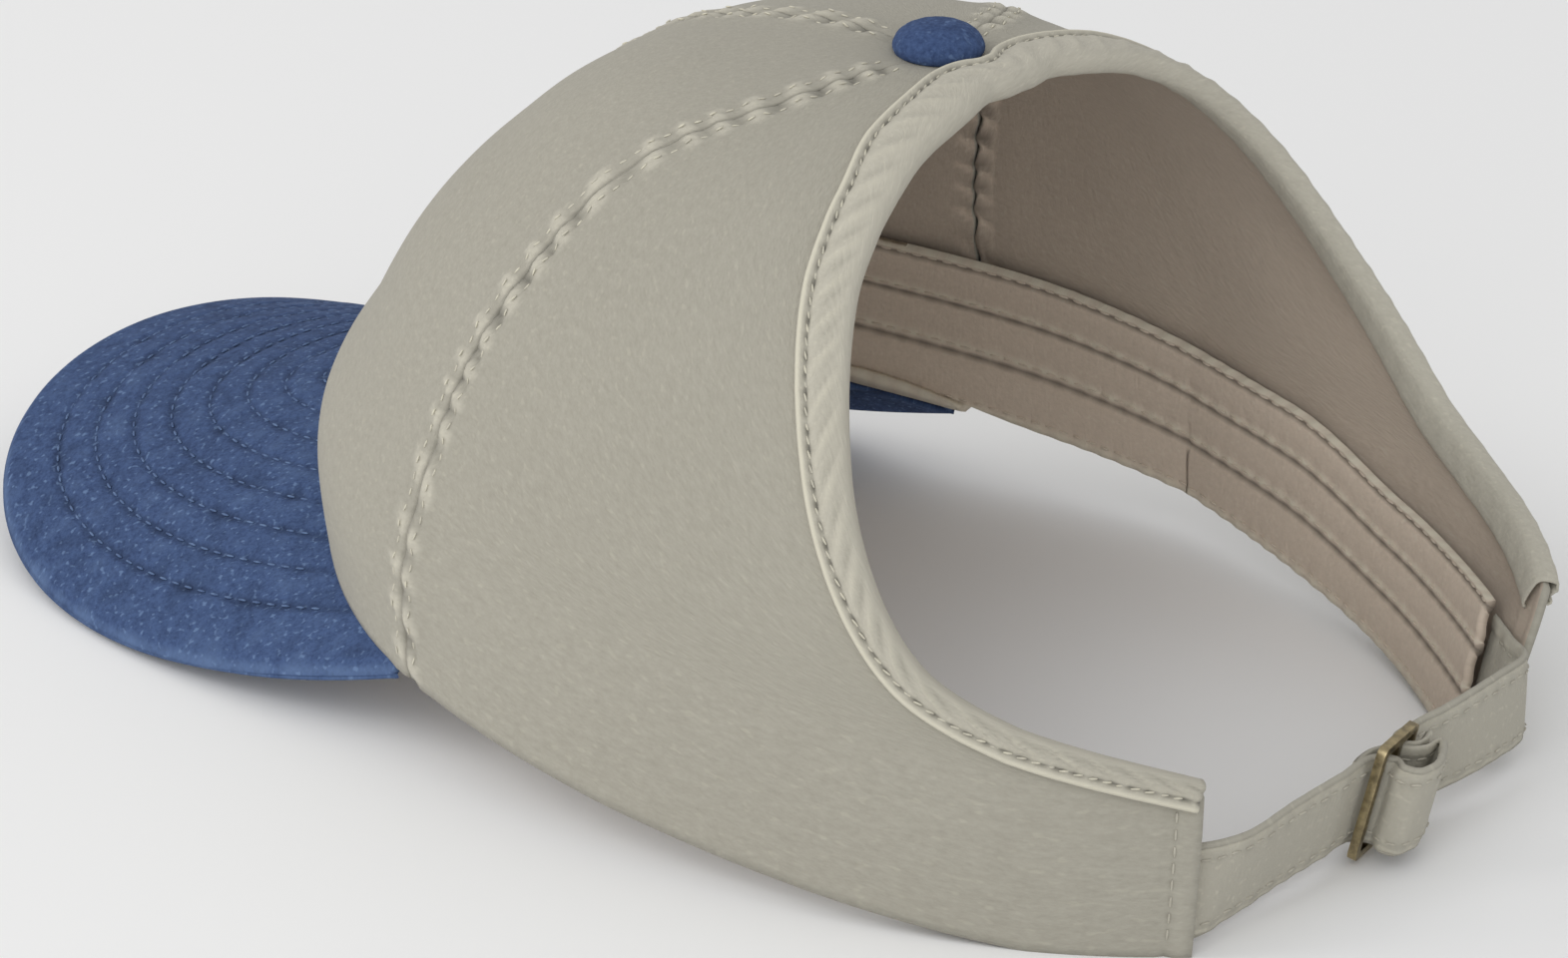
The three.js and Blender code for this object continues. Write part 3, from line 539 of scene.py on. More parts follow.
def mix_node(tree, factor, first, second, blend="MIX"):
    node = tree.nodes.new("ShaderNodeMix")
    node.data_type = "RGBA"
    node.blend_type = blend
    for socket, value in ((node.inputs[0], factor), (node.inputs[6], first), (node.inputs[7], second)):
        if isinstance(value, (int, float)):
            socket.default_value = value
        elif isinstance(value, (tuple, list)):
            socket.default_value = (*value[:3], 1.0)
        else:
            tree.links.new(value, socket)
    return node.outputs[2]


def range_node(tree, value, low, high, to_low=0.0, to_high=1.0):
    node = tree.nodes.new("ShaderNodeMapRange")
    tree.links.new(value, node.inputs["Value"])
    for label, number in (("From Min", low), ("From Max", high), ("To Min", to_low), ("To Max", to_high)):
        node.inputs[label].default_value = number
    return node.outputs["Result"]


def weave_group():
    """Twill weave on cloth coordinates: fine slanting ribs of uneven length, and the grain of the yarns."""
    tree, given, result = new_group(
        "Twill weave",
        [("Cloth", "NodeSocketVector", None), ("Ribs per metre", "NodeSocketFloat", 1250.0)],
        [("Height", "NodeSocketFloat"), ("Yarn", "NodeSocketFloat")],
    )
    scaled = tree.nodes.new("ShaderNodeVectorMath")
    scaled.operation = "SCALE"
    tree.links.new(given.outputs["Cloth"], scaled.inputs[0])
    tree.links.new(given.outputs["Ribs per metre"], scaled.inputs["Scale"])
    slanted = tree.nodes.new("ShaderNodeMapping")
    slanted.inputs["Rotation"].default_value = (0, 0, math.radians(38))
    slanted.inputs["Scale"].default_value = (1.0, 0.22, 1.0)
    tree.links.new(scaled.outputs[0], slanted.inputs["Vector"])
    rib = noise_node(tree, slanted.outputs["Vector"], 1.0, 1.0, 0.5)
    grain = noise_node(tree, given.outputs["Cloth"], 1500.0, 2.0, 0.6)
    height = math_node(tree, "ADD", math_node(tree, "MULTIPLY", rib, 0.8), math_node(tree, "MULTIPLY", grain, 0.8))
    tree.links.new(height, result.inputs["Height"])
    tree.links.new(grain, result.inputs["Yarn"])
    return tree


def fade_group():
    """Washed-out colour: broad fading, small blotches and flecks, then by a mark: positive marks pale it, partly as
    wear and partly as painted highlight, and negative marks darken it as painted shade.
    """
    tree, given, result = new_group(
        "Washed fade",
        [("Cloth", "NodeSocketVector", None), ("Space", "NodeSocketVector", None), ("Yarn", "NodeSocketFloat", 0.5),
         ("Mark", "NodeSocketFloat", 0.0), ("Deep", "NodeSocketColor", None), ("Faded", "NodeSocketColor", None),
         ("Lighter", "NodeSocketColor", None), ("Blotch", "NodeSocketFloat", 0.5), ("Flecks", "NodeSocketFloat", 0.2)],
        [("Colour", "NodeSocketColor"), ("Wear and highlight", "NodeSocketFloat")],
    )
    broad = range_node(tree, noise_node(tree, given.outputs["Space"], 18.0, 2.0, 0.5), 0.3, 0.7, -0.12, 0.12)
    small = range_node(tree, noise_node(tree, given.outputs["Cloth"], 620.0, 3.0, 0.7), 0.3, 0.7, -0.5, 0.5)
    tiny = range_node(tree, given.outputs["Yarn"], 0.3, 0.7, -0.4, 0.4)
    speck = math_node(tree, "MULTIPLY", math_node(tree, "ADD", small, tiny), given.outputs["Blotch"])
    amount = math_node(tree, "ADD", math_node(tree, "ADD", broad, speck), 0.6)
    clamped = range_node(tree, amount, 0.0, 1.0)
    plain = mix_node(tree, clamped, given.outputs["Deep"], given.outputs["Faded"])
    fleck = range_node(tree, noise_node(tree, given.outputs["Cloth"], 900.0, 1.0, 0.4), 0.62, 0.72)
    flecked = math_node(tree, "MULTIPLY", fleck, given.outputs["Flecks"])
    base = mix_node(tree, flecked, plain, given.outputs["Lighter"])
    # Positive marks pale the colour towards the lighter one: partly wear, partly painted highlight on ridges
    wear_and_highlight = range_node(tree, given.outputs["Mark"], 0.05, 1.0)
    # Negative marks darken the colour: painted shade in grooves, pits and creases, and an even darker tone on the
    # crown panels
    tone_and_painted_shade = range_node(tree, given.outputs["Mark"], -0.05, -1.0, 1.0, 0.35)
    wear_and_painted_light = mix_node(tree, math_node(tree, "MULTIPLY", wear_and_highlight, 0.75), base, given.outputs["Lighter"])
    shade = tree.nodes.new("ShaderNodeVectorMath")
    shade.operation = "SCALE"
    tree.links.new(wear_and_painted_light, shade.inputs[0])
    tree.links.new(tone_and_painted_shade, shade.inputs["Scale"])
    tree.links.new(shade.outputs[0], result.inputs["Colour"])
    tree.links.new(wear_and_highlight, result.inputs["Wear and highlight"])
    return tree


def cloth_material(name, deep, faded, wear_and_painted_light, ribs=1700.0, bump=0.00018, roughness=0.95, blotch=0.5, sheen=0.08,
                   flecks=0.2, mapped=True):
    """Washed cotton: twill bump and faded colour on the piece's own cloth coordinates."""
    material = bpy.data.materials.new(name)
    material.use_nodes = True
    tree = material.node_tree
    shader = tree.nodes["Principled BSDF"]
    space = tree.nodes.new("ShaderNodeTexCoord")
    if mapped:
        cloth = tree.nodes.new("ShaderNodeUVMap")
        cloth.uv_map = "cloth"
        cloth_out = cloth.outputs["UV"]
    else:
        cloth_out = space.outputs["Object"]
    # The marks' attribute: painted highlight on ridges and painted shade in grooves, with some wear
    mark = tree.nodes.new("ShaderNodeAttribute")
    mark.attribute_name = "wear_and_painted_light"
    weave = tree.nodes.new("ShaderNodeGroup")
    weave.node_tree = bpy.data.node_groups.get("Twill weave") or weave_group()
    weave.inputs["Ribs per metre"].default_value = ribs
    tree.links.new(cloth_out, weave.inputs["Cloth"])
    fade = tree.nodes.new("ShaderNodeGroup")
    fade.node_tree = bpy.data.node_groups.get("Washed fade") or fade_group()
    for label, colour in (("Deep", deep), ("Faded", faded), ("Lighter", wear_and_painted_light)):
        fade.inputs[label].default_value = (*colour, 1.0)
    fade.inputs["Blotch"].default_value = blotch
    fade.inputs["Flecks"].default_value = flecks
    tree.links.new(cloth_out, fade.inputs["Cloth"])
    tree.links.new(space.outputs["Object"], fade.inputs["Space"])
    tree.links.new(weave.outputs["Yarn"], fade.inputs["Yarn"])
    tree.links.new(mark.outputs["Fac"], fade.inputs["Mark"])
    tree.links.new(fade.outputs["Colour"], shader.inputs["Base Color"])
    height = tree.nodes.new("ShaderNodeBump")
    height.inputs["Strength"].default_value = 0.7
    height.inputs["Distance"].default_value = bump
    tree.links.new(weave.outputs["Height"], height.inputs["Height"])
    tree.links.new(height.outputs["Normal"], shader.inputs["Normal"])
    shader.inputs["Roughness"].default_value = roughness
    shader.inputs["Sheen Weight"].default_value = sheen
    shader.inputs["Sheen Roughness"].default_value = 0.6
    shader.inputs["Specular IOR Level"].default_value = 0.2
    return material


def thread_material(name, deep, faded):
    """Sewing thread: a twisted cotton look on object coordinates."""
    material = bpy.data.materials.new(name)
    material.use_nodes = True
    tree = material.node_tree
    shader = tree.nodes["Principled BSDF"]
    space = tree.nodes.new("ShaderNodeTexCoord")
    twist = noise_node(tree, space.outputs["Object"], 900.0, 2.0)
    tree.links.new(mix_node(tree, range_node(tree, twist, 0.3, 0.7), deep, faded), shader.inputs["Base Color"])
    height = tree.nodes.new("ShaderNodeBump")
    height.inputs["Strength"].default_value = 0.4
    height.inputs["Distance"].default_value = 0.0001
    tree.links.new(twist, height.inputs["Height"])
    tree.links.new(height.outputs["Normal"], shader.inputs["Normal"])
    shader.inputs["Roughness"].default_value = 0.75
    shader.inputs["Specular IOR Level"].default_value = 0.3
    return material


def brass_material(deep, polished_and_highlit):
    """Antique brass: near-black, aged brass darkened further as painted shade, paler on sharp edges as rubbed wear
    and painted highlight, with random pale stains.
    """
    material = bpy.data.materials.new("Antique brass")
    material.use_nodes = True
    tree = material.node_tree
    shader = tree.nodes["Principled BSDF"]
    space = tree.nodes.new("ShaderNodeTexCoord")
    edge = tree.nodes.new("ShaderNodeNewGeometry")
    # Sharp edges paler: rubbed brass and painted highlight
    rubbed_and_highlit = range_node(tree, edge.outputs["Pointiness"], 0.49, 0.56)
    stain = noise_node(tree, space.outputs["Object"], 700.0, 4.0, 0.6)
    stained = range_node(tree, stain, 0.35, 0.7, 0.0, 0.6)
    amount = math_node(tree, "ADD", math_node(tree, "MULTIPLY", rubbed_and_highlit, 0.6), stained)
    clamped = range_node(tree, amount, 0.0, 1.0)
    tree.links.new(mix_node(tree, clamped, deep, polished_and_highlit), shader.inputs["Base Color"])
    tree.links.new(range_node(tree, stain, 0.2, 0.8, 0.28, 0.5), shader.inputs["Roughness"])
    shader.inputs["Metallic"].default_value = 1.0
    return material


def shared_material(key):
    """Materials by plain name, each made once from the settings' colours."""
    made = bpy.data.materials.get(key)
    if made:
        return made
    look = bpy.context.scene.cap_cloth
    stone, stone_deep, cream = tuple(look.stone), tuple(look.stone_deep), tuple(look.cream)
    blue, blue_deep, blue_pale = tuple(look.blue), tuple(look.blue_deep), tuple(look.blue_pale)
    taupe, taupe_deep = tuple(look.taupe), tuple(look.taupe_deep)
    # The straps' copy of the stone cloth, darker as painted shade
    strap_stone = tuple(STRAP_PAINTED_SHADE * value for value in stone)
    makers = {
        "Stone twill": lambda: cloth_material(key, stone_deep, stone, cream),
        "Stone twill inside": lambda: cloth_material(key, taupe_deep, taupe, cream, blotch=0.4),
        "Stone binding": lambda: cloth_material(key, stone_deep, stone, cream, ribs=1500, blotch=0.4),
        "Stone strap": lambda: cloth_material(key, stone_deep, strap_stone, cream, blotch=0.4),
        "Taupe band": lambda: cloth_material(key, taupe_deep, taupe, cream, ribs=1500, blotch=0.4),
        "Blue chambray": lambda: cloth_material(key, blue_deep, blue, blue_pale, blotch=0.9, sheen=0, flecks=0.8),
        "Blue chambray button": lambda: cloth_material(key, blue_deep, blue, blue_pale, blotch=0.8, sheen=0,
                                                       flecks=0.5, mapped=False),
        # Cream thread: stone thread paled towards cream as a painted highlight on the stitches
        "Cream thread": lambda: thread_material(key, stone, cream),
        "Stone thread": lambda: thread_material(key, stone_deep, stone),
        "Taupe thread": lambda: thread_material(key, taupe, tuple(look.taupe_pale)),
        "Blue thread": lambda: thread_material(key, blue, blue_pale),
        "Antique brass": lambda: brass_material(tuple(look.brass_deep), tuple(look.brass)),
    }
    material = makers[key]()
    material.name = key
    return material


# Settings


def colour_property(name, description, default):
    return FloatVectorProperty(name=name, description=description, subtype="COLOR", size=3, min=0, max=1,
                               default=default)


def length_property(name, description, default):
    return FloatProperty(name=name, description=description, subtype="DISTANCE", unit="LENGTH", default=default,
                         min=0, precision=5)


class CapClothSettings(bpy.types.PropertyGroup):
    stone: colour_property("Stone", "Faded stone cloth", (0.50, 0.475, 0.400))
    stone_deep: colour_property("Deep stone", "Less faded stone cloth", (0.40, 0.376, 0.312))
    # Cream: flecks, ridges paled as wear and painted highlight, and the cream thread's paleness, a painted highlight
    # on its stitches
    cream: colour_property("Cream", "Worn ridges and pale thread", (0.68, 0.645, 0.52))
    taupe: colour_property("Taupe", "Sweatband and the crown's inner face", (0.62, 0.52, 0.425))
    taupe_deep: colour_property("Deep taupe", "Less faded inner cloth", (0.50, 0.418, 0.335))
    taupe_pale: colour_property("Pale taupe", "Sweatband thread", (0.55, 0.49, 0.40))
    blue: colour_property("Blue", "Faded chambray", (0.060, 0.100, 0.215))
    blue_deep: colour_property("Deep blue", "Less faded chambray", (0.030, 0.052, 0.125))
    # Pale blue: flecks, the visor's edge and ridges paled as wear and painted highlight, and the visor thread's
    # lighter strands
    blue_pale: colour_property("Pale blue", "Worn chambray and visor thread", (0.130, 0.200, 0.350))
    # Brass colours: the rubbed one also serves as painted highlight, the dark one is aged brass darkened as painted
    # shade
    brass: colour_property("Brass", "Rubbed brass", (0.50, 0.41, 0.24))
    brass_deep: colour_property("Dark brass", "Aged brass", (0.035, 0.026, 0.017))
    stitch_pitch: length_property("Stitch pitch", "From one stitch to the next", 0.0026)
    thread: length_property("Thread", "Thickness of the sewing thread", 0.00042)
    seam_row: length_property("Seam row", "Distance of each topstitch row from its seam", 0.002)
    pucker: length_property("Pucker", "Height of the puckers beside a seam", 0.0006)
    softness: length_property("Softness", "Height of the crown's soft waves", 0.0009)
    binding_pucker: length_property("Binding pucker", "Height of the binding's diagonal folds", 0.0008)


class CapVisorSettings(bpy.types.PropertyGroup):
    rows: IntProperty(name="Rows", description="Rows of stitching on the visor", default=8, min=1, max=12)
    first_row: length_property("First row", "Distance of the first row from the visor's edge", 0.009)
    row_pitch: length_property("Row pitch", "Distance between the rows", 0.0062)
    stitch_pitch: length_property("Stitch pitch", "From one visor stitch to the next", 0.0031)


class CapStageSettings(bpy.types.PropertyGroup):
    floor_colour: colour_property("Floor", "Colour of the floor", (0.9, 0.9, 0.9))
    floor_size: length_property("Floor size", "Side of the floor", 8.0)
    key_power: FloatProperty(name="Key", description="Power of the main light", default=15, min=0)
    fill_power: FloatProperty(name="Fill", description="Power of the light from the camera's side", default=17, min=0)
    sky: FloatProperty(name="Sky", description="Strength of the even light from all round", default=0.66, min=0)


# Pieces


def front_panel_grid():
    rows, columns = 130, 76
    share = np.linspace(0, 1, rows)
    level = (share**1.1 * APEX_LEVEL)[:, None]
    angle = front_seam(level) * np.linspace(0, 1, columns)[None, :]
    return np.broadcast_arrays(angle, level)


def side_panel_grid(tail):
    """Angles and levels of a side panel, from the front seam to its tail's end, the opening and the back seam."""
    edge_angle, edge_level = beside_opening(np.linspace(1, 0, 110), PANEL_FROM_EDGE)
    low = np.linspace(0, 1, 26)[:-1] * edge_level[0]
    top = lerp(edge_level[-1], APEX_LEVEL, np.linspace(0, 1, 16)[1:])
    edge_angle[-1] = math.pi
    levels = np.concatenate([low, edge_level, top])
    ends = np.concatenate([tail_end_angle(tail, low), edge_angle, np.full(len(top), math.pi)])
    columns = 120
    share = np.linspace(0, 1, columns)[None, :]
    angles = lerp(front_seam(levels)[:, None], ends[:, None], share)
    return np.broadcast_arrays(angles, levels[:, None])


# Marks from the seams' relief: painted highlight on the puckers' crests, painted shade in the groove, the stitch
# lines and the pits; elsewhere an even darker tone over the whole panel
def panel_marks(relief):
    return np.clip(1.6 * np.maximum(relief - 0.26, 0) + 1.1 * np.minimum(relief, 0) - 0.4, -1, 0.8)


class CAP_OT_crown_panels(bpy.types.Operator):
    """Make the four cloth panels of the crown"""

    bl_idname = "cap.crown_panels"
    bl_label = "Crown panels"

    def execute(self, context):
        settings = context.scene.cap_cloth
        for side, turn, tail in (("left", 1, LEFT_TAIL), ("right", -1, RIGHT_TAIL)):
            for part, (angle, level) in (("front", front_panel_grid()), ("side", side_panel_grid(tail))):
                angle = angle * turn
                relief = crown_relief(angle, level, settings)
                marks = panel_marks(crown_relief(angle, level, settings, 0))
                if part == "side":
                    end = tail_end_angle(tail, level)
                    away = (end - np.abs(angle)) * plan_reach(angle, level)
                    low = 1 - smooth_step(level, TAIL_LEVEL, TAIL_LEVEL * 1.3)
                    relief = relief + low * (0.35 * (1 - smooth_step(away, 2.6, 4.2)) - 0.4 * hump(away, 3.6, 0.5))
                points, normals = over_crown(angle, level, relief)
                piece = grid_sheet(f"panel_{part}_{side}", points, flat_coordinates(points), normals, marks)
                thicken(piece, PANEL_THICKNESS * MM, 1)
                finish_piece(piece, [shared_material("Stone twill"), shared_material("Stone twill inside")],
                             [f"crown_{part}_{side}"])
                declare_sheet(points)
        return {"FINISHED"}


def sheet_area(points):
    """Area in square metres of a sheet through rows of points in millimetres."""
    a, b = points[1:, 1:] - points[:-1, :-1], points[1:, :-1] - points[:-1, 1:]
    return float(np.linalg.norm(np.cross(a, b), axis=-1).sum() / 2 * MM * MM)


def declare_sheet(points, flat=None):
    """Works out the rectangle that a sheet's flat cut fits in and its area, and keeps neither."""
    area = sheet_area(points)
    if flat is None:
        width = max(lengths_along(row)[-1] for row in points[:: max(1, len(points) // 12)]) * MM
        length = max(lengths_along(points[:, column])[-1] for column in range(0, points.shape[1], 8)) * MM
    else:
        width, length = flat
    length = max(length, area / width)


def seam_line(place, offset, settings, low=0.012, high=0.955):
    """A line of points and normals beside a crown seam, on the relief: place 1 or -1 is a front seam."""
    level = np.linspace(low, high, 400)
    seam = place * front_seam(level) if abs(place) == 1 else np.full(400, place)
    angle = seam + offset / plan_reach(seam, level)
    relief = crown_relief(angle, level, settings)
    return over_crown(angle, level, relief + 0.12)


class CAP_OT_crown_stitches(bpy.types.Operator):
    """Sew the topstitch rows beside the crown's seams and at the tails"""

    bl_idname = "cap.crown_stitches"
    bl_label = "Crown stitches"

    def execute(self, context):
        settings = context.scene.cap_cloth
        pitch, thread, row = settings.stitch_pitch / MM, settings.thread / MM, settings.seam_row / MM
        bm, tails = bmesh.new(), bmesh.new()
        for place in (0.0, 1, -1):
            for side in (-1, 1):
                points, normals = seam_line(place, side * row, settings)
                sew(bm, points, normals, pitch, pitch * 0.5, thread * 0.85, thread * 0.7)
        for side in (-1, 1):
            points, normals = seam_line(math.pi, side * row, settings, OPENING_TOP_LEVEL + 0.07, 0.955)
            sew(bm, points, normals, pitch, pitch * 0.5, thread * 0.85, thread * 0.7)
        for turn, tail in ((1, LEFT_TAIL), (-1, RIGHT_TAIL)):
            level = np.linspace(0.01, TAIL_LEVEL * 1.02, 80)
            reach = plan_reach(turn * tail_end_angle(tail, level), level)
            angle = turn * (tail_end_angle(tail, level) - 3.6 / reach)
            points, normals = over_crown(angle, level, crown_relief(angle, level, settings) + 0.05)
            sew(tails, points, normals, pitch, pitch * 0.72, thread, thread * 0.9)
        thread_piece("crown_stitches", bm, shared_material("Cream thread"))
        thread_piece("tail_stitches", tails, shared_material("Stone thread"))
        return {"FINISHED"}


def binding_place(point, width):
    """Distance in from the opening's edge of a section point, for the binding's width at each place."""
    inward, height = point
    full = BINDING_SECTION[1][0]
    if height < -0.5:
        return np.full(width.shape, inward)
    if inward > full - 2.55:
        return width - (full - inward)
    return inward * (width - 2.55) / (full - 2.55)


class CAP_OT_opening_binding(bpy.types.Operator):
    """Make the folded binding round the ponytail opening, with its ridge of thread"""

    bl_idname = "cap.opening_binding"
    bl_label = "Opening binding"

    def execute(self, context):
        settings = context.scene.cap_cloth
        stations = 620
        section = np.array(BINDING_SECTION)
        along = np.linspace(-1, 1, stations)
        edge_points = crown_point(*opening_place(along))
        length = lengths_along(edge_points)
        inward, height = section[:, 0], section[:, 1]
        width = table_value(BINDING_WIDTHS, np.abs(along))
        grids = [beside_opening(along, binding_place(point, width)) for point in section]
        angle = np.stack([grid[0] for grid in grids], axis=-1)
        level = np.stack([grid[1] for grid in grids], axis=-1)
        wander = 1.4 * np.sin(length / 17.0) + 0.9 * np.sin(length / 7.3 + 2)
        slanted = length[:, None] * np.sign(along)[:, None] - 0.95 * inward[None, :]
        fold = 0.5 + 0.5 * np.sin(2 * math.pi * slanted / 6.1 + wander[:, None])
        fine = 0.5 + 0.5 * np.sin(2 * math.pi * slanted / 2.9 + 2.3 * wander[:, None])
        across = hump(inward, 4.2, 3.0) * (height > 0) + 0.5 * hump(inward, 3.5, 2.2) * (height < -1)
        calm = lerp(1, 0.45, hump(np.abs(along), 0.0, 0.3)) * lerp(1, 0.5, smooth_step(-along, 0, 0.3))
        depth = settings.binding_pucker / MM * calm[:, None]
        bump = depth * (fold**2.4 + 0.3 * fine - 0.45) * across[None, :]
        stitch = 0.5 + 0.5 * np.cos(2 * math.pi * length / (settings.stitch_pitch / MM))
        bump = bump - 0.25 * stitch[:, None] * hump(inward, 7.95, 0.35)[None, :] * (height > 0)
        raised = height[None, :] + bump * np.where(height > -0.5, 1, -1)[None, :]
        points, normals = over_crown(angle, level, raised)
        outward = unit(np.cross(np.gradient(points, axis=0), np.gradient(points, axis=1)))
        middle = stations // 2
        if (outward[middle, 10] * normals[middle, 10]).sum() < 0:
            outward = -outward
        # Marks: the rolled ridge and the puckers' crests paler as painted highlight with some wear, the line of
        # stitches and the puckers' furrows darker as painted shade
        ridge = hump(inward, 9.0, 0.42) * (height > 0.6) * 1.0
        dark = hump(inward, 7.95, 0.3) * (height > 0) * (0.35 + 0.5 * stitch[:, None])
        marks = np.clip(1.1 * ridge[None, :] - dark + 0.9 * bump * (height > 0), -1, 1)
        piece = grid_sheet("binding_cloth", points, flat_coordinates(points), outward, marks)
        thicken(piece, 0.0004)
        finish_piece(piece, [shared_material("Stone binding")], ["opening_binding"])
        declare_sheet(points)
        pitch, thread = settings.stitch_pitch / MM, settings.thread / MM
        bm = bmesh.new()
        place = beside_opening(along, binding_place((7.95, 1.0), width))
        line, up = over_crown(*place, np.full(stations, 1.0))
        sew(bm, line, up, pitch * 0.8, pitch * 0.6, thread * 0.9, thread * 0.7, 0.25)
        thread_piece("binding_stitches", bm, shared_material("Cream thread"))
        return {"FINISHED"}


def band_depth(degrees):
    tail_end = np.where(degrees > 0, math.degrees(tail_end_angle(LEFT_TAIL, 0)),
                        math.degrees(tail_end_angle(RIGHT_TAIL, 0)))
    return BAND_DEPTH + STRAP_ROOM * (1 - smooth_step(tail_end - np.abs(degrees), TONGUE_ANGLE, 2 * TONGUE_ANGLE))


class CAP_OT_sweatband(bpy.types.Operator):
    """Make the channelled sweatband and its rows of stitches"""

    bl_idname = "cap.sweatband"
    bl_label = "Sweatband"

    def execute(self, context):
        settings = context.scene.cap_cloth
        stations, rows = 620, 64
        ends = [math.degrees(tail_end_angle(tail, 0)) - BAND_BACK_MARGIN for tail in (RIGHT_TAIL, LEFT_TAIL)]
        degrees = np.linspace(-ends[0], ends[1], stations)
        angle = np.radians(degrees)
        top = level_at_height(angle, BAND_HEIGHT * table_value(BAND_HEIGHTS, np.abs(degrees)))
        line = over_crown(angle, top * 0.5, -band_depth(degrees))[0]
        length = lengths_along(line)
        up = np.linspace(0, 1, rows)
        channel = np.abs(np.sin(math.pi * BAND_CHANNELS * up)) ** 0.8
        near_row = 1 - channel
        row_ridge = hump(np.abs((up * BAND_CHANNELS + 0.5) % 1 - 0.5), 0.0, 0.075)
        groove = hump((up * BAND_CHANNELS) % 1, 0.86, 0.06) * (up < 0.99)
        wander = 1.3 * np.sin(length / 13.0) + np.sin(length / 6.1 + 1)
        pucker = 0.5 + 0.5 * np.sin(2 * math.pi * length[None, :] / 4.4 + wander[None, :] + 5 * up[:, None])
        swell = BAND_SWELL * channel[:, None] + 0.32 * pucker * near_row[:, None] + 0.45 * row_ridge[:, None]
        swell = swell - 0.35 * groove[:, None]
        waves = soft_waves(line, 24, 5)[None, :] * 0.45
        under = band_depth(degrees)[None, :] + BAND_THICKNESS + swell + waves * hump(up, 0.5, 0.4)[:, None]
        levels = top[None, :] * up[:, None]
        angles = np.broadcast_to(angle[None, :], levels.shape)
        points, normals = over_crown(angles, levels, -under)
        points[..., 2] += BAND_LIFT * (1 - up[:, None])
        whole = np.arange(181)
        bend = np.interp(RIM_FLAT_FROM_Y, rim_plan(np.radians(whole))[1], whole)
        corner = np.maximum(hump(np.abs(degrees), math.degrees(VISOR_ANGLE), 15), hump(np.abs(degrees), bend, 12))
        points = lerp(points, eased(points, 33), corner[None, :, None])
        # Marks: painted highlight on the ridges at the stitch rows, painted shade in the grooves, and painted light
        # and shade over the puckers by the rows
        shade = 0.45 * (pucker - 0.5) * near_row[:, None]
        marks = np.clip(0.7 * row_ridge[:, None] - 0.95 * groove[:, None] + shade, -1, 1)
        marks = np.broadcast_to(marks, levels.shape)
        piece = grid_sheet("sweatband_cloth", points, flat_coordinates(points), -normals, marks)
        thicken(piece, BAND_THICKNESS * MM)
        finish_piece(piece, [shared_material("Taupe band")], ["sweatband"])
        declare_sheet(points)
        pitch, thread = settings.stitch_pitch / MM, settings.thread / MM
        bm = bmesh.new()
        for share in BAND_STITCHES:
            index = int(round(share * (rows - 1)))
            sew(bm, points[index] - normals[index] * 0.1, -normals[index], pitch, pitch * 0.7, thread, thread * 0.9)
        thread_piece("sweatband_stitches", bm, shared_material("Taupe thread"))
        return {"FINISHED"}


def visor_edge(share):
    """Plan points of the visor's edge, from its tip to its corner on the wearer's left."""
    share = np.asarray(share, float)[..., None]
    ends = np.array([[0, VISOR_TIP_Y], [VISOR_TIP_REACH, VISOR_TIP_Y],
                     [VISOR_CORNER[0] + VISOR_SIDE_BOW, VISOR_CORNER[1] - VISOR_SIDE_REACH], list(VISOR_CORNER)])
    rest = 1 - share
    return rest**3 * ends[0] + 3 * rest**2 * share * ends[1] + 3 * rest * share**2 * ends[2] + share**3 * ends[3]


def distance_to_line(points, line):
    best = np.full(points.shape[:-1], 1e9)
    for start, end in zip(line[:-1], line[1:]):
        span = end - start
        share = np.clip(((points - start) @ span) / (span @ span), 0, 1)
        best = np.minimum(best, np.linalg.norm(points - start - share[..., None] * span, axis=-1))
    return best


def visor_grid(columns, rows):
    """Plan points of the visor, from the crown's seam to its edge, across its whole width."""
    across = np.linspace(-1, 1, columns)
    across = np.sign(across) * np.abs(across) ** 0.92
    outer = visor_edge(np.abs(across))
    rim_x, rim_y = rim_plan(VISOR_ANGLE * np.abs(across))
    rim = np.stack([rim_x, rim_y], axis=-1)
    depth = lerp(VISOR_SEAM_DEPTH, VISOR_CORNER_DEPTH, np.abs(across) ** 6)
    inner = rim * (1 - depth / np.linalg.norm(rim, axis=-1))[:, None]
    out = np.linspace(0, 1, rows) ** 0.85
    plan = lerp(inner[None], outer[None], out[:, None, None])
    plan[..., 0] *= np.sign(across)[None, :]
    return plan


def visor_row_line(distance):
    """Plan points of a stitch row at a distance in from the visor's edge, between the crown's seams."""
    share = np.linspace(0, 1, 500)
    edge = visor_edge(share)
    ahead = unit(np.gradient(edge, axis=0))
    inward = np.stack([-ahead[:, 1], ahead[:, 0]], axis=-1)
    if inward[0, 1] < 0:
        inward = -inward
    half = edge + inward * distance
    whole_edge = np.vstack([edge[:0:-1] * [-1, 1], edge])
    clear = distance_to_line(half, whole_edge) > distance - 0.15
    reach = np.hypot(half[:, 0], half[:, 1])
    seam = np.hypot(*rim_plan(np.arctan2(half[:, 0], -half[:, 1])))
    keep = clear & (reach > seam + 1.2) & (half[:, 0] >= 0)
    half = half[keep]
    return np.vstack([half[:0:-1] * [-1, 1], half])


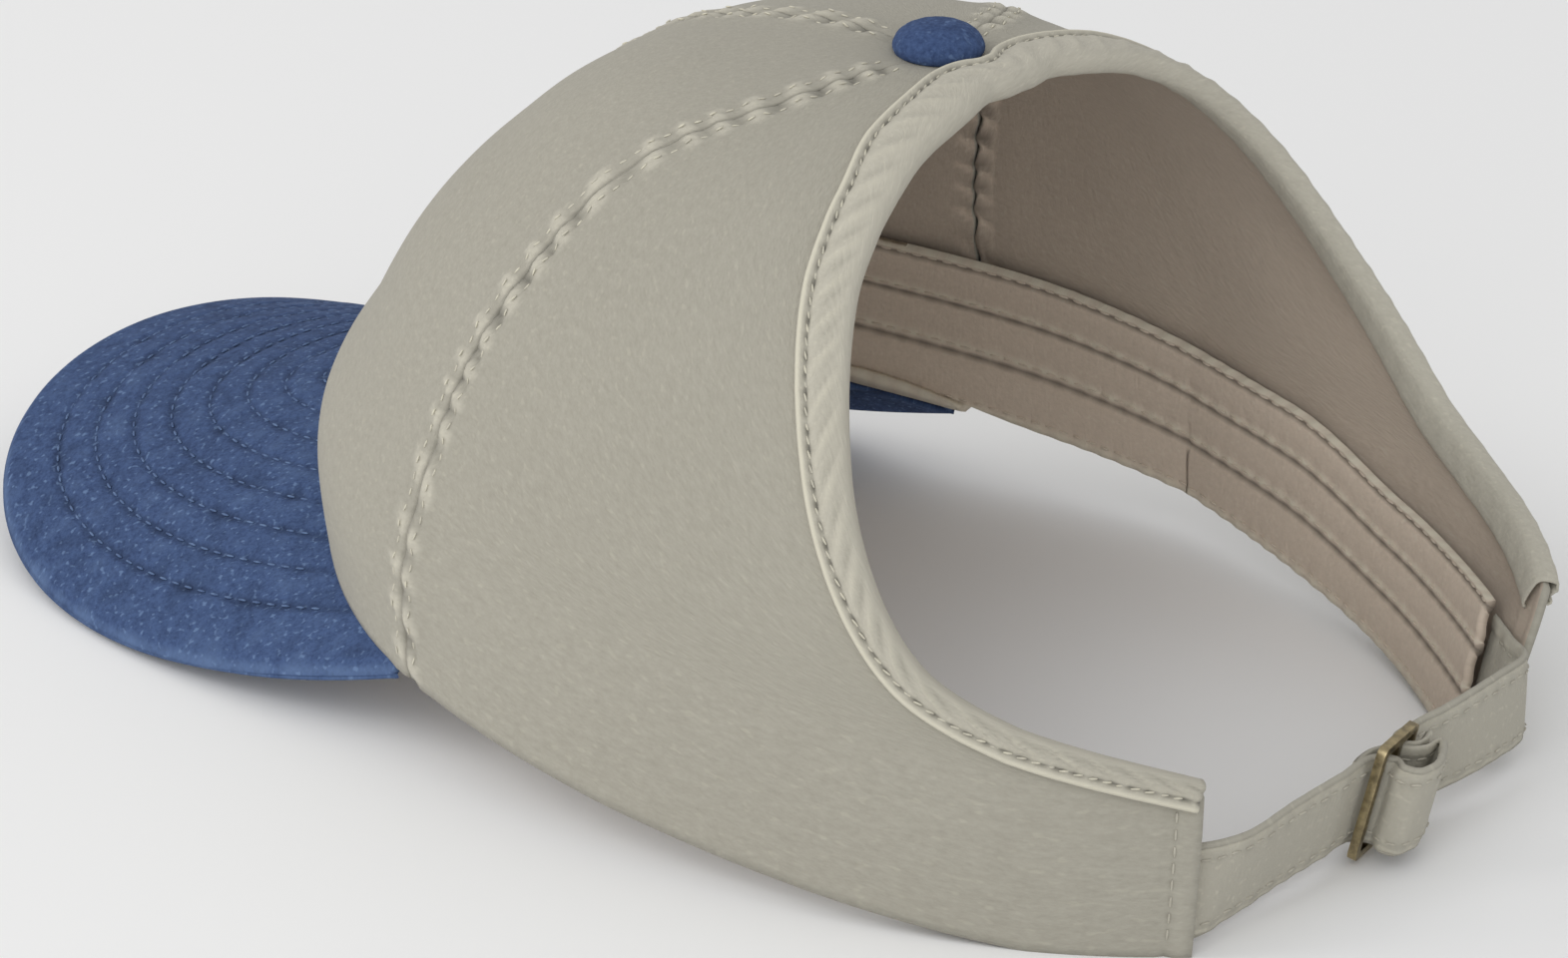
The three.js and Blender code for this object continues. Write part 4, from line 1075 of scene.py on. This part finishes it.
class CAP_OT_visor(bpy.types.Operator):
    """Make the visor's two chambray covers, its edge and its rows of stitches"""

    bl_idname = "cap.visor"
    bl_label = "Visor"

    def execute(self, context):
        visor, settings = context.scene.cap_visor, context.scene.cap_cloth
        edge = visor_edge(np.linspace(0, 1, 90))
        whole_edge = np.vstack([edge[:0:-1] * [-1, 1], edge])
        plan = visor_grid(330, 120)
        away = distance_to_line(plan, whole_edge)
        row_share = (away - visor.first_row / MM) / (visor.row_pitch / MM)
        nearest = np.clip(np.rint(row_share), 0, visor.rows - 1)
        from_row = np.abs(row_share - nearest) * visor.row_pitch / MM
        spatial = np.dstack([plan, np.zeros(plan.shape[:2])])
        waves = soft_waves(spatial, 26, 7)
        small = soft_waves(spatial, 3.4, 8)
        groove = hump(from_row, 0, 0.75)
        relief = -0.32 * groove + 0.16 * waves + 0.1 * small * smooth_step(away, 1.5, 6)
        roll = np.maximum(0, 1 - away / 1.6) ** 2
        for name, replaced, slot, face, drop, thickness in (
            ("visor_top", "visor_upper", "chambray", 1, VISOR_TOP_DROP, VISOR_UPPER),
            ("visor_under", "visor_lower", "chambray_under", -1, VISOR_UNDER_DROP, VISOR_LOWER),
        ):
            height = visor_surface(plan[..., 0], plan[..., 1]) - drop
            height = height + face * (relief - 0.9 * roll * thickness)
            points = np.dstack([plan, height])
            outward = np.zeros(points.shape)
            outward[..., 2] = face
            # Marks: painted shade in the stitch rows' grooves, the edge paler as wear and painted highlight, and
            # painted light and shade following the small waves
            marks = np.clip(-0.5 * groove + 0.5 * hump(away, 0.3, 0.5) + 0.25 * small, -1, 1)
            piece = grid_sheet(name, points, flat_coordinates(points), outward, marks)
            thicken(piece, (thickness - 0.25) * MM)
            finish_piece(piece, [shared_material("Blue chambray")], [replaced])
            flat = (np.ptp(plan[..., 0]) * 1.1 * MM, (np.ptp(plan[..., 1]) + 12) * MM)
            declare_sheet(points, flat)
        self.sew_rows(visor, settings)
        return {"FINISHED"}

    def sew_rows(self, visor, settings):
        pitch, thread = visor.stitch_pitch / MM, settings.thread / MM
        bm = bmesh.new()
        for row in range(visor.rows):
            line = visor_row_line(visor.first_row / MM + row * visor.row_pitch / MM)
            if len(line) < 12:
                continue
            for face, drop in ((1, VISOR_TOP_DROP + 0.2), (-1, VISOR_UNDER_DROP - 0.25)):
                height = visor_surface(line[:, 0], line[:, 1]) - drop
                points = np.column_stack([line, height])
                normals = np.tile([0.0, 0.0, float(face)], (len(line), 1))
                sew(bm, points, normals, pitch, pitch * 0.6, thread * 1.15, thread)
        thread_piece("visor_stitches", bm, shared_material("Blue thread"))


class CAP_OT_top_button(bpy.types.Operator):
    """Make the cloth-covered button on the crown's top"""

    bl_idname = "cap.top_button"
    bl_label = "Top button"

    def execute(self, context):
        seat = CROWN_HEIGHT - TOP_DIP / 2 + CLEARANCE - 0.5
        under = CROWN_HEIGHT - TOP_DIP - PANEL_THICKNESS - CLEARANCE
        dome, edge = BUTTON_HEIGHT - BUTTON_EDGE, BUTTON_EDGE + 0.5
        profile = [(0.0, seat + edge + dome)]
        for turn in (80, 70, 60, 50, 40, 30, 20, 10, 0):
            reach = BUTTON_RADIUS * math.cos(math.radians(turn)) ** 0.8
            profile.append((reach, seat + edge + dome * math.sin(math.radians(turn)) ** 1.1))
        profile += [(6.95, seat + 0.9), (6.7, seat + 0.35), (6.2, seat), (4.0, seat), (SHANK_RADIUS, seat),
                    (SHANK_RADIUS, under), (WASHER_RADIUS, under), (WASHER_RADIUS, under - WASHER_THICKNESS),
                    (0.0, under - WASHER_THICKNESS)]
        bm = bmesh.new()
        line = [bm.verts.new((reach * MM, 0, height * MM)) for reach, height in profile]
        edges = [bm.edges.new(pair) for pair in zip(line[:-1], line[1:])]
        bmesh.ops.spin(bm, geom=line + edges, cent=(0, 0, 0), axis=(0, 0, 1), steps=72, angle=2 * math.pi,
                       use_merge=True)
        bmesh.ops.remove_doubles(bm, verts=bm.verts, dist=1e-5)
        for vert in bm.verts:
            reach, turn = math.hypot(vert.co.x, vert.co.y) / MM, math.atan2(vert.co.y, vert.co.x)
            if vert.co.z > (seat + 0.2) * MM and reach > 3:
                gather = 0.5 + 0.5 * math.sin(17 * turn + 1.3 * math.sin(5 * turn))
                vert.co.z -= 0.16 * MM * gather * (reach - 3) / 4
                vert.co.xy *= 1 - 0.012 * gather * (reach > 6)
        piece = smooth_piece("button_cloth", bm)
        finish_piece(piece, [shared_material("Blue chambray button")], ["top_button"])
        return {"FINISHED"}


# Straps and buckle


def turned(x, y):
    return np.array([x * math.cos(BUCKLE_TURN) - y * math.sin(BUCKLE_TURN),
                     x * math.sin(BUCKLE_TURN) + y * math.cos(BUCKLE_TURN)])


TO_RIGHT, TO_BACK = turned(-1, 0), turned(0, 1)
TAIL_PLACE = crown_point(TAIL_ANGLE, 0.0)
TAIL_X = float(abs(TAIL_PLACE[0]))
LEFT_BAR = np.array([BUCKLE_X, float(TAIL_PLACE[1]) + BUCKLE_BACK])
BEHIND_BAR = BUCKLE_BAR / 2 + BUCKLE_GAP + STRAP_THICKNESS / 2
LAYER_PITCH = STRAP_THICKNESS + BUCKLE_GAP


def buckle_point(right, out):
    return LEFT_BAR + TO_RIGHT * right * BUCKLE_PITCH + TO_BACK * out


def run_point(row):
    return buckle_point(row[0], -BEHIND_BAR - row[1] * LAYER_PITCH)


def round_bar(bar, turn):
    reach = BUCKLE_BAR * math.sqrt(0.5) + CLEARANCE + STRAP_THICKNESS / 2
    aside = reach * math.cos(math.radians(turn)) / BUCKLE_PITCH
    return buckle_point(bar + aside, reach * math.sin(math.radians(turn)))


def strap_low(place):
    return CLEARANCE + STRAP_LIFT * table_value(STRAP_LIFTS, place)


def strap_end(side, up):
    tail = LEFT_TAIL if side > 0 else RIGHT_TAIL
    low = float(strap_low(side))
    exit_angle = float(tail_end_angle(tail, level_at_height(TAIL_ANGLE, low + STRAP_HEIGHT)))
    under = -(PANEL_THICKNESS + STRAP_GAP + STRAP_THICKNESS / 2)
    found = []
    for share in (0.0, 0.5, 1.0):
        angle = np.array(side * (exit_angle - math.radians(TONGUE_ANGLE) * (1 - share)))
        level = level_at_height(angle, low + up * STRAP_HEIGHT)
        found.append(over_crown(angle, level, np.array(under))[0][:2])
    return found


def centripetal_line(points, count):
    """Points along a smooth curve through plan points, tight and without overshoot."""
    points = np.array(points)
    ends = np.vstack([2 * points[0] - points[1], points, 2 * points[-1] - points[-2]])
    found = []
    for at in np.linspace(0, len(points) - 1, count):
        i = min(int(at), len(points) - 2)
        t = at - i
        p0, p1, p2, p3 = ends[i : i + 4]
        d0, d1, d2 = (max(float(np.linalg.norm(b - a)) ** 0.5, 1e-4) for a, b in ((p0, p1), (p1, p2), (p2, p3)))
        m1 = ((p1 - p0) / d0 - (p2 - p0) / (d0 + d1) + (p2 - p1) / d1) * d1
        m2 = ((p2 - p1) / d1 - (p3 - p1) / (d1 + d2) + (p3 - p2) / d2) * d1
        found.append((2 * t**3 - 3 * t**2 + 1) * p1 + (t**3 - 2 * t**2 + t) * m1
                     + (3 * t**2 - 2 * t**3) * p2 + (t**3 - t**2) * m2)
    found = np.array(found)
    lengths = lengths_along(found)
    even = np.linspace(0, lengths[-1], count)
    return np.stack([np.interp(even, lengths, found[:, axis]) for axis in range(2)], axis=-1)


def strap_surface(routes, stations, rows, face):
    """One face of a strap: its points, outward directions, lengths and heights up it."""
    up = np.linspace(0, 1, rows)
    low_line, high_line = (centripetal_line(routes(share), stations) for share in (0.0, 1.0))
    middle = lerp(low_line[None], high_line[None], up[:, None, None])
    ahead = unit(np.gradient(middle, axis=1))
    aside = np.stack([-ahead[..., 1], ahead[..., 0]], axis=-1)
    place = np.clip(middle[..., 0] / TAIL_X, -1, 1)
    lean = STRAP_LEAN * table_value(STRAP_LEANS, place) * (1 - up[:, None])
    plan = middle - TO_BACK * lean[..., None]
    height = strap_low(place) + up[:, None] * STRAP_HEIGHT
    length = lengths_along(middle[rows // 2])
    hem = 0.22 * (1 - smooth_step(np.minimum(up, 1 - up) * STRAP_HEIGHT, 2.2, 3.0))
    row = -0.28 * hump(np.minimum(up, 1 - up) * STRAP_HEIGHT, 2.3, 0.4)
    edge_roll = -0.35 * np.maximum(0, 1 - np.minimum(up, 1 - up) * STRAP_HEIGHT / 0.5) ** 2
    pucker = 0.12 * np.sin(2 * math.pi * length / 4.9 + np.sin(length / 5))[None, :]
    pucker = pucker * hump(np.minimum(up, 1 - up) * STRAP_HEIGHT, 2.3, 1.6)[:, None]
    relief = (hem + row + edge_roll)[:, None] + pucker
    out = face * (STRAP_THICKNESS / 2 - 0.1 + relief)
    plan = plan + aside * out[..., None]
    points = np.dstack([plan, height])
    outward = np.dstack([aside * face, np.zeros(height.shape)])
    return points, outward, relief


def left_route(up):
    loop = [buckle_point(right, out * LOOP_REACH) for right, out in TAIL_LOOP]
    return [*strap_end(1, up), *(run_point(row) for row in LEFT_RUN), *loop, round_bar(1, 0), round_bar(1, -50),
            *(run_point(row) for row in LEFT_END)]


def right_route(up):
    return [buckle_point(RIGHT_END, BEHIND_BAR), *(round_bar(2, turn) for turn in BAR_TURNS),
            *(run_point(row) for row in RIGHT_RUN), *reversed(strap_end(-1, up))]


class CAP_OT_straps(bpy.types.Operator):
    """Make the two back straps with their hems and edge stitches"""

    bl_idname = "cap.straps"
    bl_label = "Back straps"

    def execute(self, context):
        settings = context.scene.cap_cloth
        pitch, thread = settings.stitch_pitch / MM, settings.thread / MM
        bm = bmesh.new()
        for side, route, stations in (("left", left_route, 420), ("right", right_route, 300)):
            rows = 44
            outside, outward, relief = strap_surface(route, stations, rows, 1)
            # Marks follow the relief: painted highlight on the hems, painted shade in the stitch rows and at the
            # rolled edges
            marks = np.clip(1.2 * relief, -0.6, 0.6)
            piece = grid_sheet(f"strap_cloth_{side}", outside, flat_coordinates(outside), outward, marks)
            thicken(piece, (STRAP_THICKNESS - 0.15) * MM)
            finish_piece(piece, [shared_material("Stone strap")], [f"strap_{side}"])
            declare_sheet(outside)
            for share in (2.3 / STRAP_HEIGHT, 1 - 2.3 / STRAP_HEIGHT):
                index = int(round(share * (rows - 1)))
                line, up = outside[index], outward[index]
                sew(bm, line + up * 0.05, up, pitch, pitch * 0.7, thread, thread * 0.8)
                inner = line - up * (STRAP_THICKNESS - 0.1)
                sew(bm, inner, -up, pitch, pitch * 0.7, thread, thread * 0.8)
        thread_piece("strap_stitches", bm, shared_material("Stone thread"))
        return {"FINISHED"}


class CAP_OT_buckle(bpy.types.Operator):
    """Round the slide buckle's edges"""

    bl_idname = "cap.buckle"
    bl_label = "Slide buckle"

    def execute(self, context):
        bm = bmesh.new()
        bm.from_mesh(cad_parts["buckle"].data)
        bmesh.ops.translate(bm, verts=bm.verts, vec=(0, -PLAN_CENTRE_Y * MM, 0))
        bmesh.ops.remove_doubles(bm, verts=bm.verts, dist=1e-6)
        bmesh.ops.dissolve_limit(bm, angle_limit=math.radians(3), verts=bm.verts, edges=bm.edges)
        sharp = [edge for edge in bm.edges if edge.calc_face_angle(0) > math.radians(50)]
        bmesh.ops.bevel(bm, geom=sharp, offset=BUCKLE_EDGE * MM, offset_type="OFFSET", affect="EDGES", segments=3,
                        profile=0.5, material=-1, clamp_overlap=True)
        bmesh.ops.triangulate(bm, faces=[face for face in bm.faces if len(face.verts) > 4])
        finish_piece(smooth_piece("buckle_frame", bm), [shared_material("Antique brass")], ["buckle"])
        return {"FINISHED"}


# Stage


def aim(item, target):
    direction = Vector(target) - item.location
    item.rotation_euler = direction.to_track_quat("-Z", "Y").to_euler()


def add_light(name, power, size, location, target, colour):
    data = bpy.data.lights.new(name, "AREA")
    data.energy = power
    data.size = size
    data.color = colour
    light = bpy.data.objects.new(name, data)
    light.location = location
    aim(light, target)
    bpy.context.scene.collection.objects.link(light)


class CAP_OT_stage(bpy.types.Operator):
    """Set the pale floor, the soft lights and the camera"""

    bl_idname = "cap.stage"
    bl_label = "Stage"

    def execute(self, context):
        stage = context.scene.cap_stage
        bm = bmesh.new()
        bmesh.ops.create_grid(bm, x_segments=1, y_segments=1, size=stage.floor_size / 2)
        mesh = bpy.data.meshes.new("stage_floor")
        bm.to_mesh(mesh)
        bm.free()
        floor = bpy.data.objects.new("stage_floor", mesh)
        context.scene.collection.objects.link(floor)
        material = bpy.data.materials.new("Floor")
        material.use_nodes = True
        shader = material.node_tree.nodes["Principled BSDF"]
        shader.inputs["Base Color"].default_value = (*stage.floor_colour, 1)
        shader.inputs["Roughness"].default_value = 0.9
        shader.inputs["Specular IOR Level"].default_value = 0.1
        mesh.materials.append(material)
        add_light("key", stage.key_power, 1.4, (1.3, -1.6, 1.1), (0, 0, 0.05), (1.0, 0.985, 0.96))
        add_light("fill", stage.fill_power, 1.8, (1.7, 0.9, 1.1), (0, 0, 0.05), (0.96, 0.98, 1.0))
        world = bpy.data.worlds.new("Studio")
        world.use_nodes = True
        background = world.node_tree.nodes["Background"]
        background.inputs["Color"].default_value = (1.0, 1.0, 1.0, 1)
        background.inputs["Strength"].default_value = stage.sky
        context.scene.world = world
        context.scene.view_settings.view_transform = "Standard"
        self.add_camera(context)
        return {"FINISHED"}

    def add_camera(self, context):
        azimuth, elevation, roll = (math.radians(CAMERA[key]) for key in ("azimuth", "elevation", "roll"))
        back = Vector((math.sin(azimuth) * math.cos(elevation), -math.cos(azimuth) * math.cos(elevation),
                       math.sin(elevation)))
        level_right = Vector((math.cos(azimuth), math.sin(azimuth), 0))
        level_up = back.cross(level_right)
        right = math.cos(roll) * level_right + math.sin(roll) * level_up
        up = -math.sin(roll) * level_right + math.cos(roll) * level_up
        centre = CAMERA_CENTRE + Vector((0, PLAN_CENTRE_Y, 0))
        place = centre + back * CAMERA["distance"] - right * CAMERA["aside"] - up * CAMERA["above"]
        data = bpy.data.cameras.new("camera")
        data.sensor_width = 36
        data.lens = CAMERA["focal"] / PHOTO_WIDTH * 36
        data.clip_start, data.clip_end = 0.01, 50
        camera = bpy.data.objects.new("camera", data)
        turn = Matrix((right, up, back)).transposed().to_4x4()
        camera.matrix_world = Matrix.Translation(place * MM) @ turn
        context.scene.collection.objects.link(camera)
        context.scene.camera = camera


OPERATORS = (
    CAP_OT_stage,
    CAP_OT_crown_panels,
    CAP_OT_crown_stitches,
    CAP_OT_opening_binding,
    CAP_OT_sweatband,
    CAP_OT_visor,
    CAP_OT_top_button,
    CAP_OT_straps,
    CAP_OT_buckle,
)


class CAP_PT_dressing(bpy.types.Panel):
    """Lists the cap's making steps and settings"""

    bl_label = "Cap dressing"
    bl_idname = "CAP_PT_dressing"
    bl_space_type = "VIEW_3D"
    bl_region_type = "UI"
    bl_category = "Cap"

    def draw(self, context):
        for operator in OPERATORS:
            self.layout.operator(operator.bl_idname)
        for group in (context.scene.cap_cloth, context.scene.cap_visor, context.scene.cap_stage):
            for name in group.__annotations__:
                self.layout.prop(group, name)


SETTINGS = (("cap_cloth", CapClothSettings), ("cap_visor", CapVisorSettings), ("cap_stage", CapStageSettings))


def register():
    for name, group in SETTINGS:
        bpy.utils.register_class(group)
        setattr(bpy.types.Scene, name, PointerProperty(type=group))
    for item in (*OPERATORS, CAP_PT_dressing):
        bpy.utils.register_class(item)


def unregister():
    for item in reversed((*OPERATORS, CAP_PT_dressing)):
        bpy.utils.unregister_class(item)
    for name, group in reversed(SETTINGS):
        delattr(bpy.types.Scene, name)
        bpy.utils.unregister_class(group)


def main():
    register()
    for operator in OPERATORS:
        area, name = operator.bl_idname.split(".")
        getattr(getattr(bpy.ops, area), name)()
    bpy.context.view_layer.update()


if __name__ == "__main__":
    main()
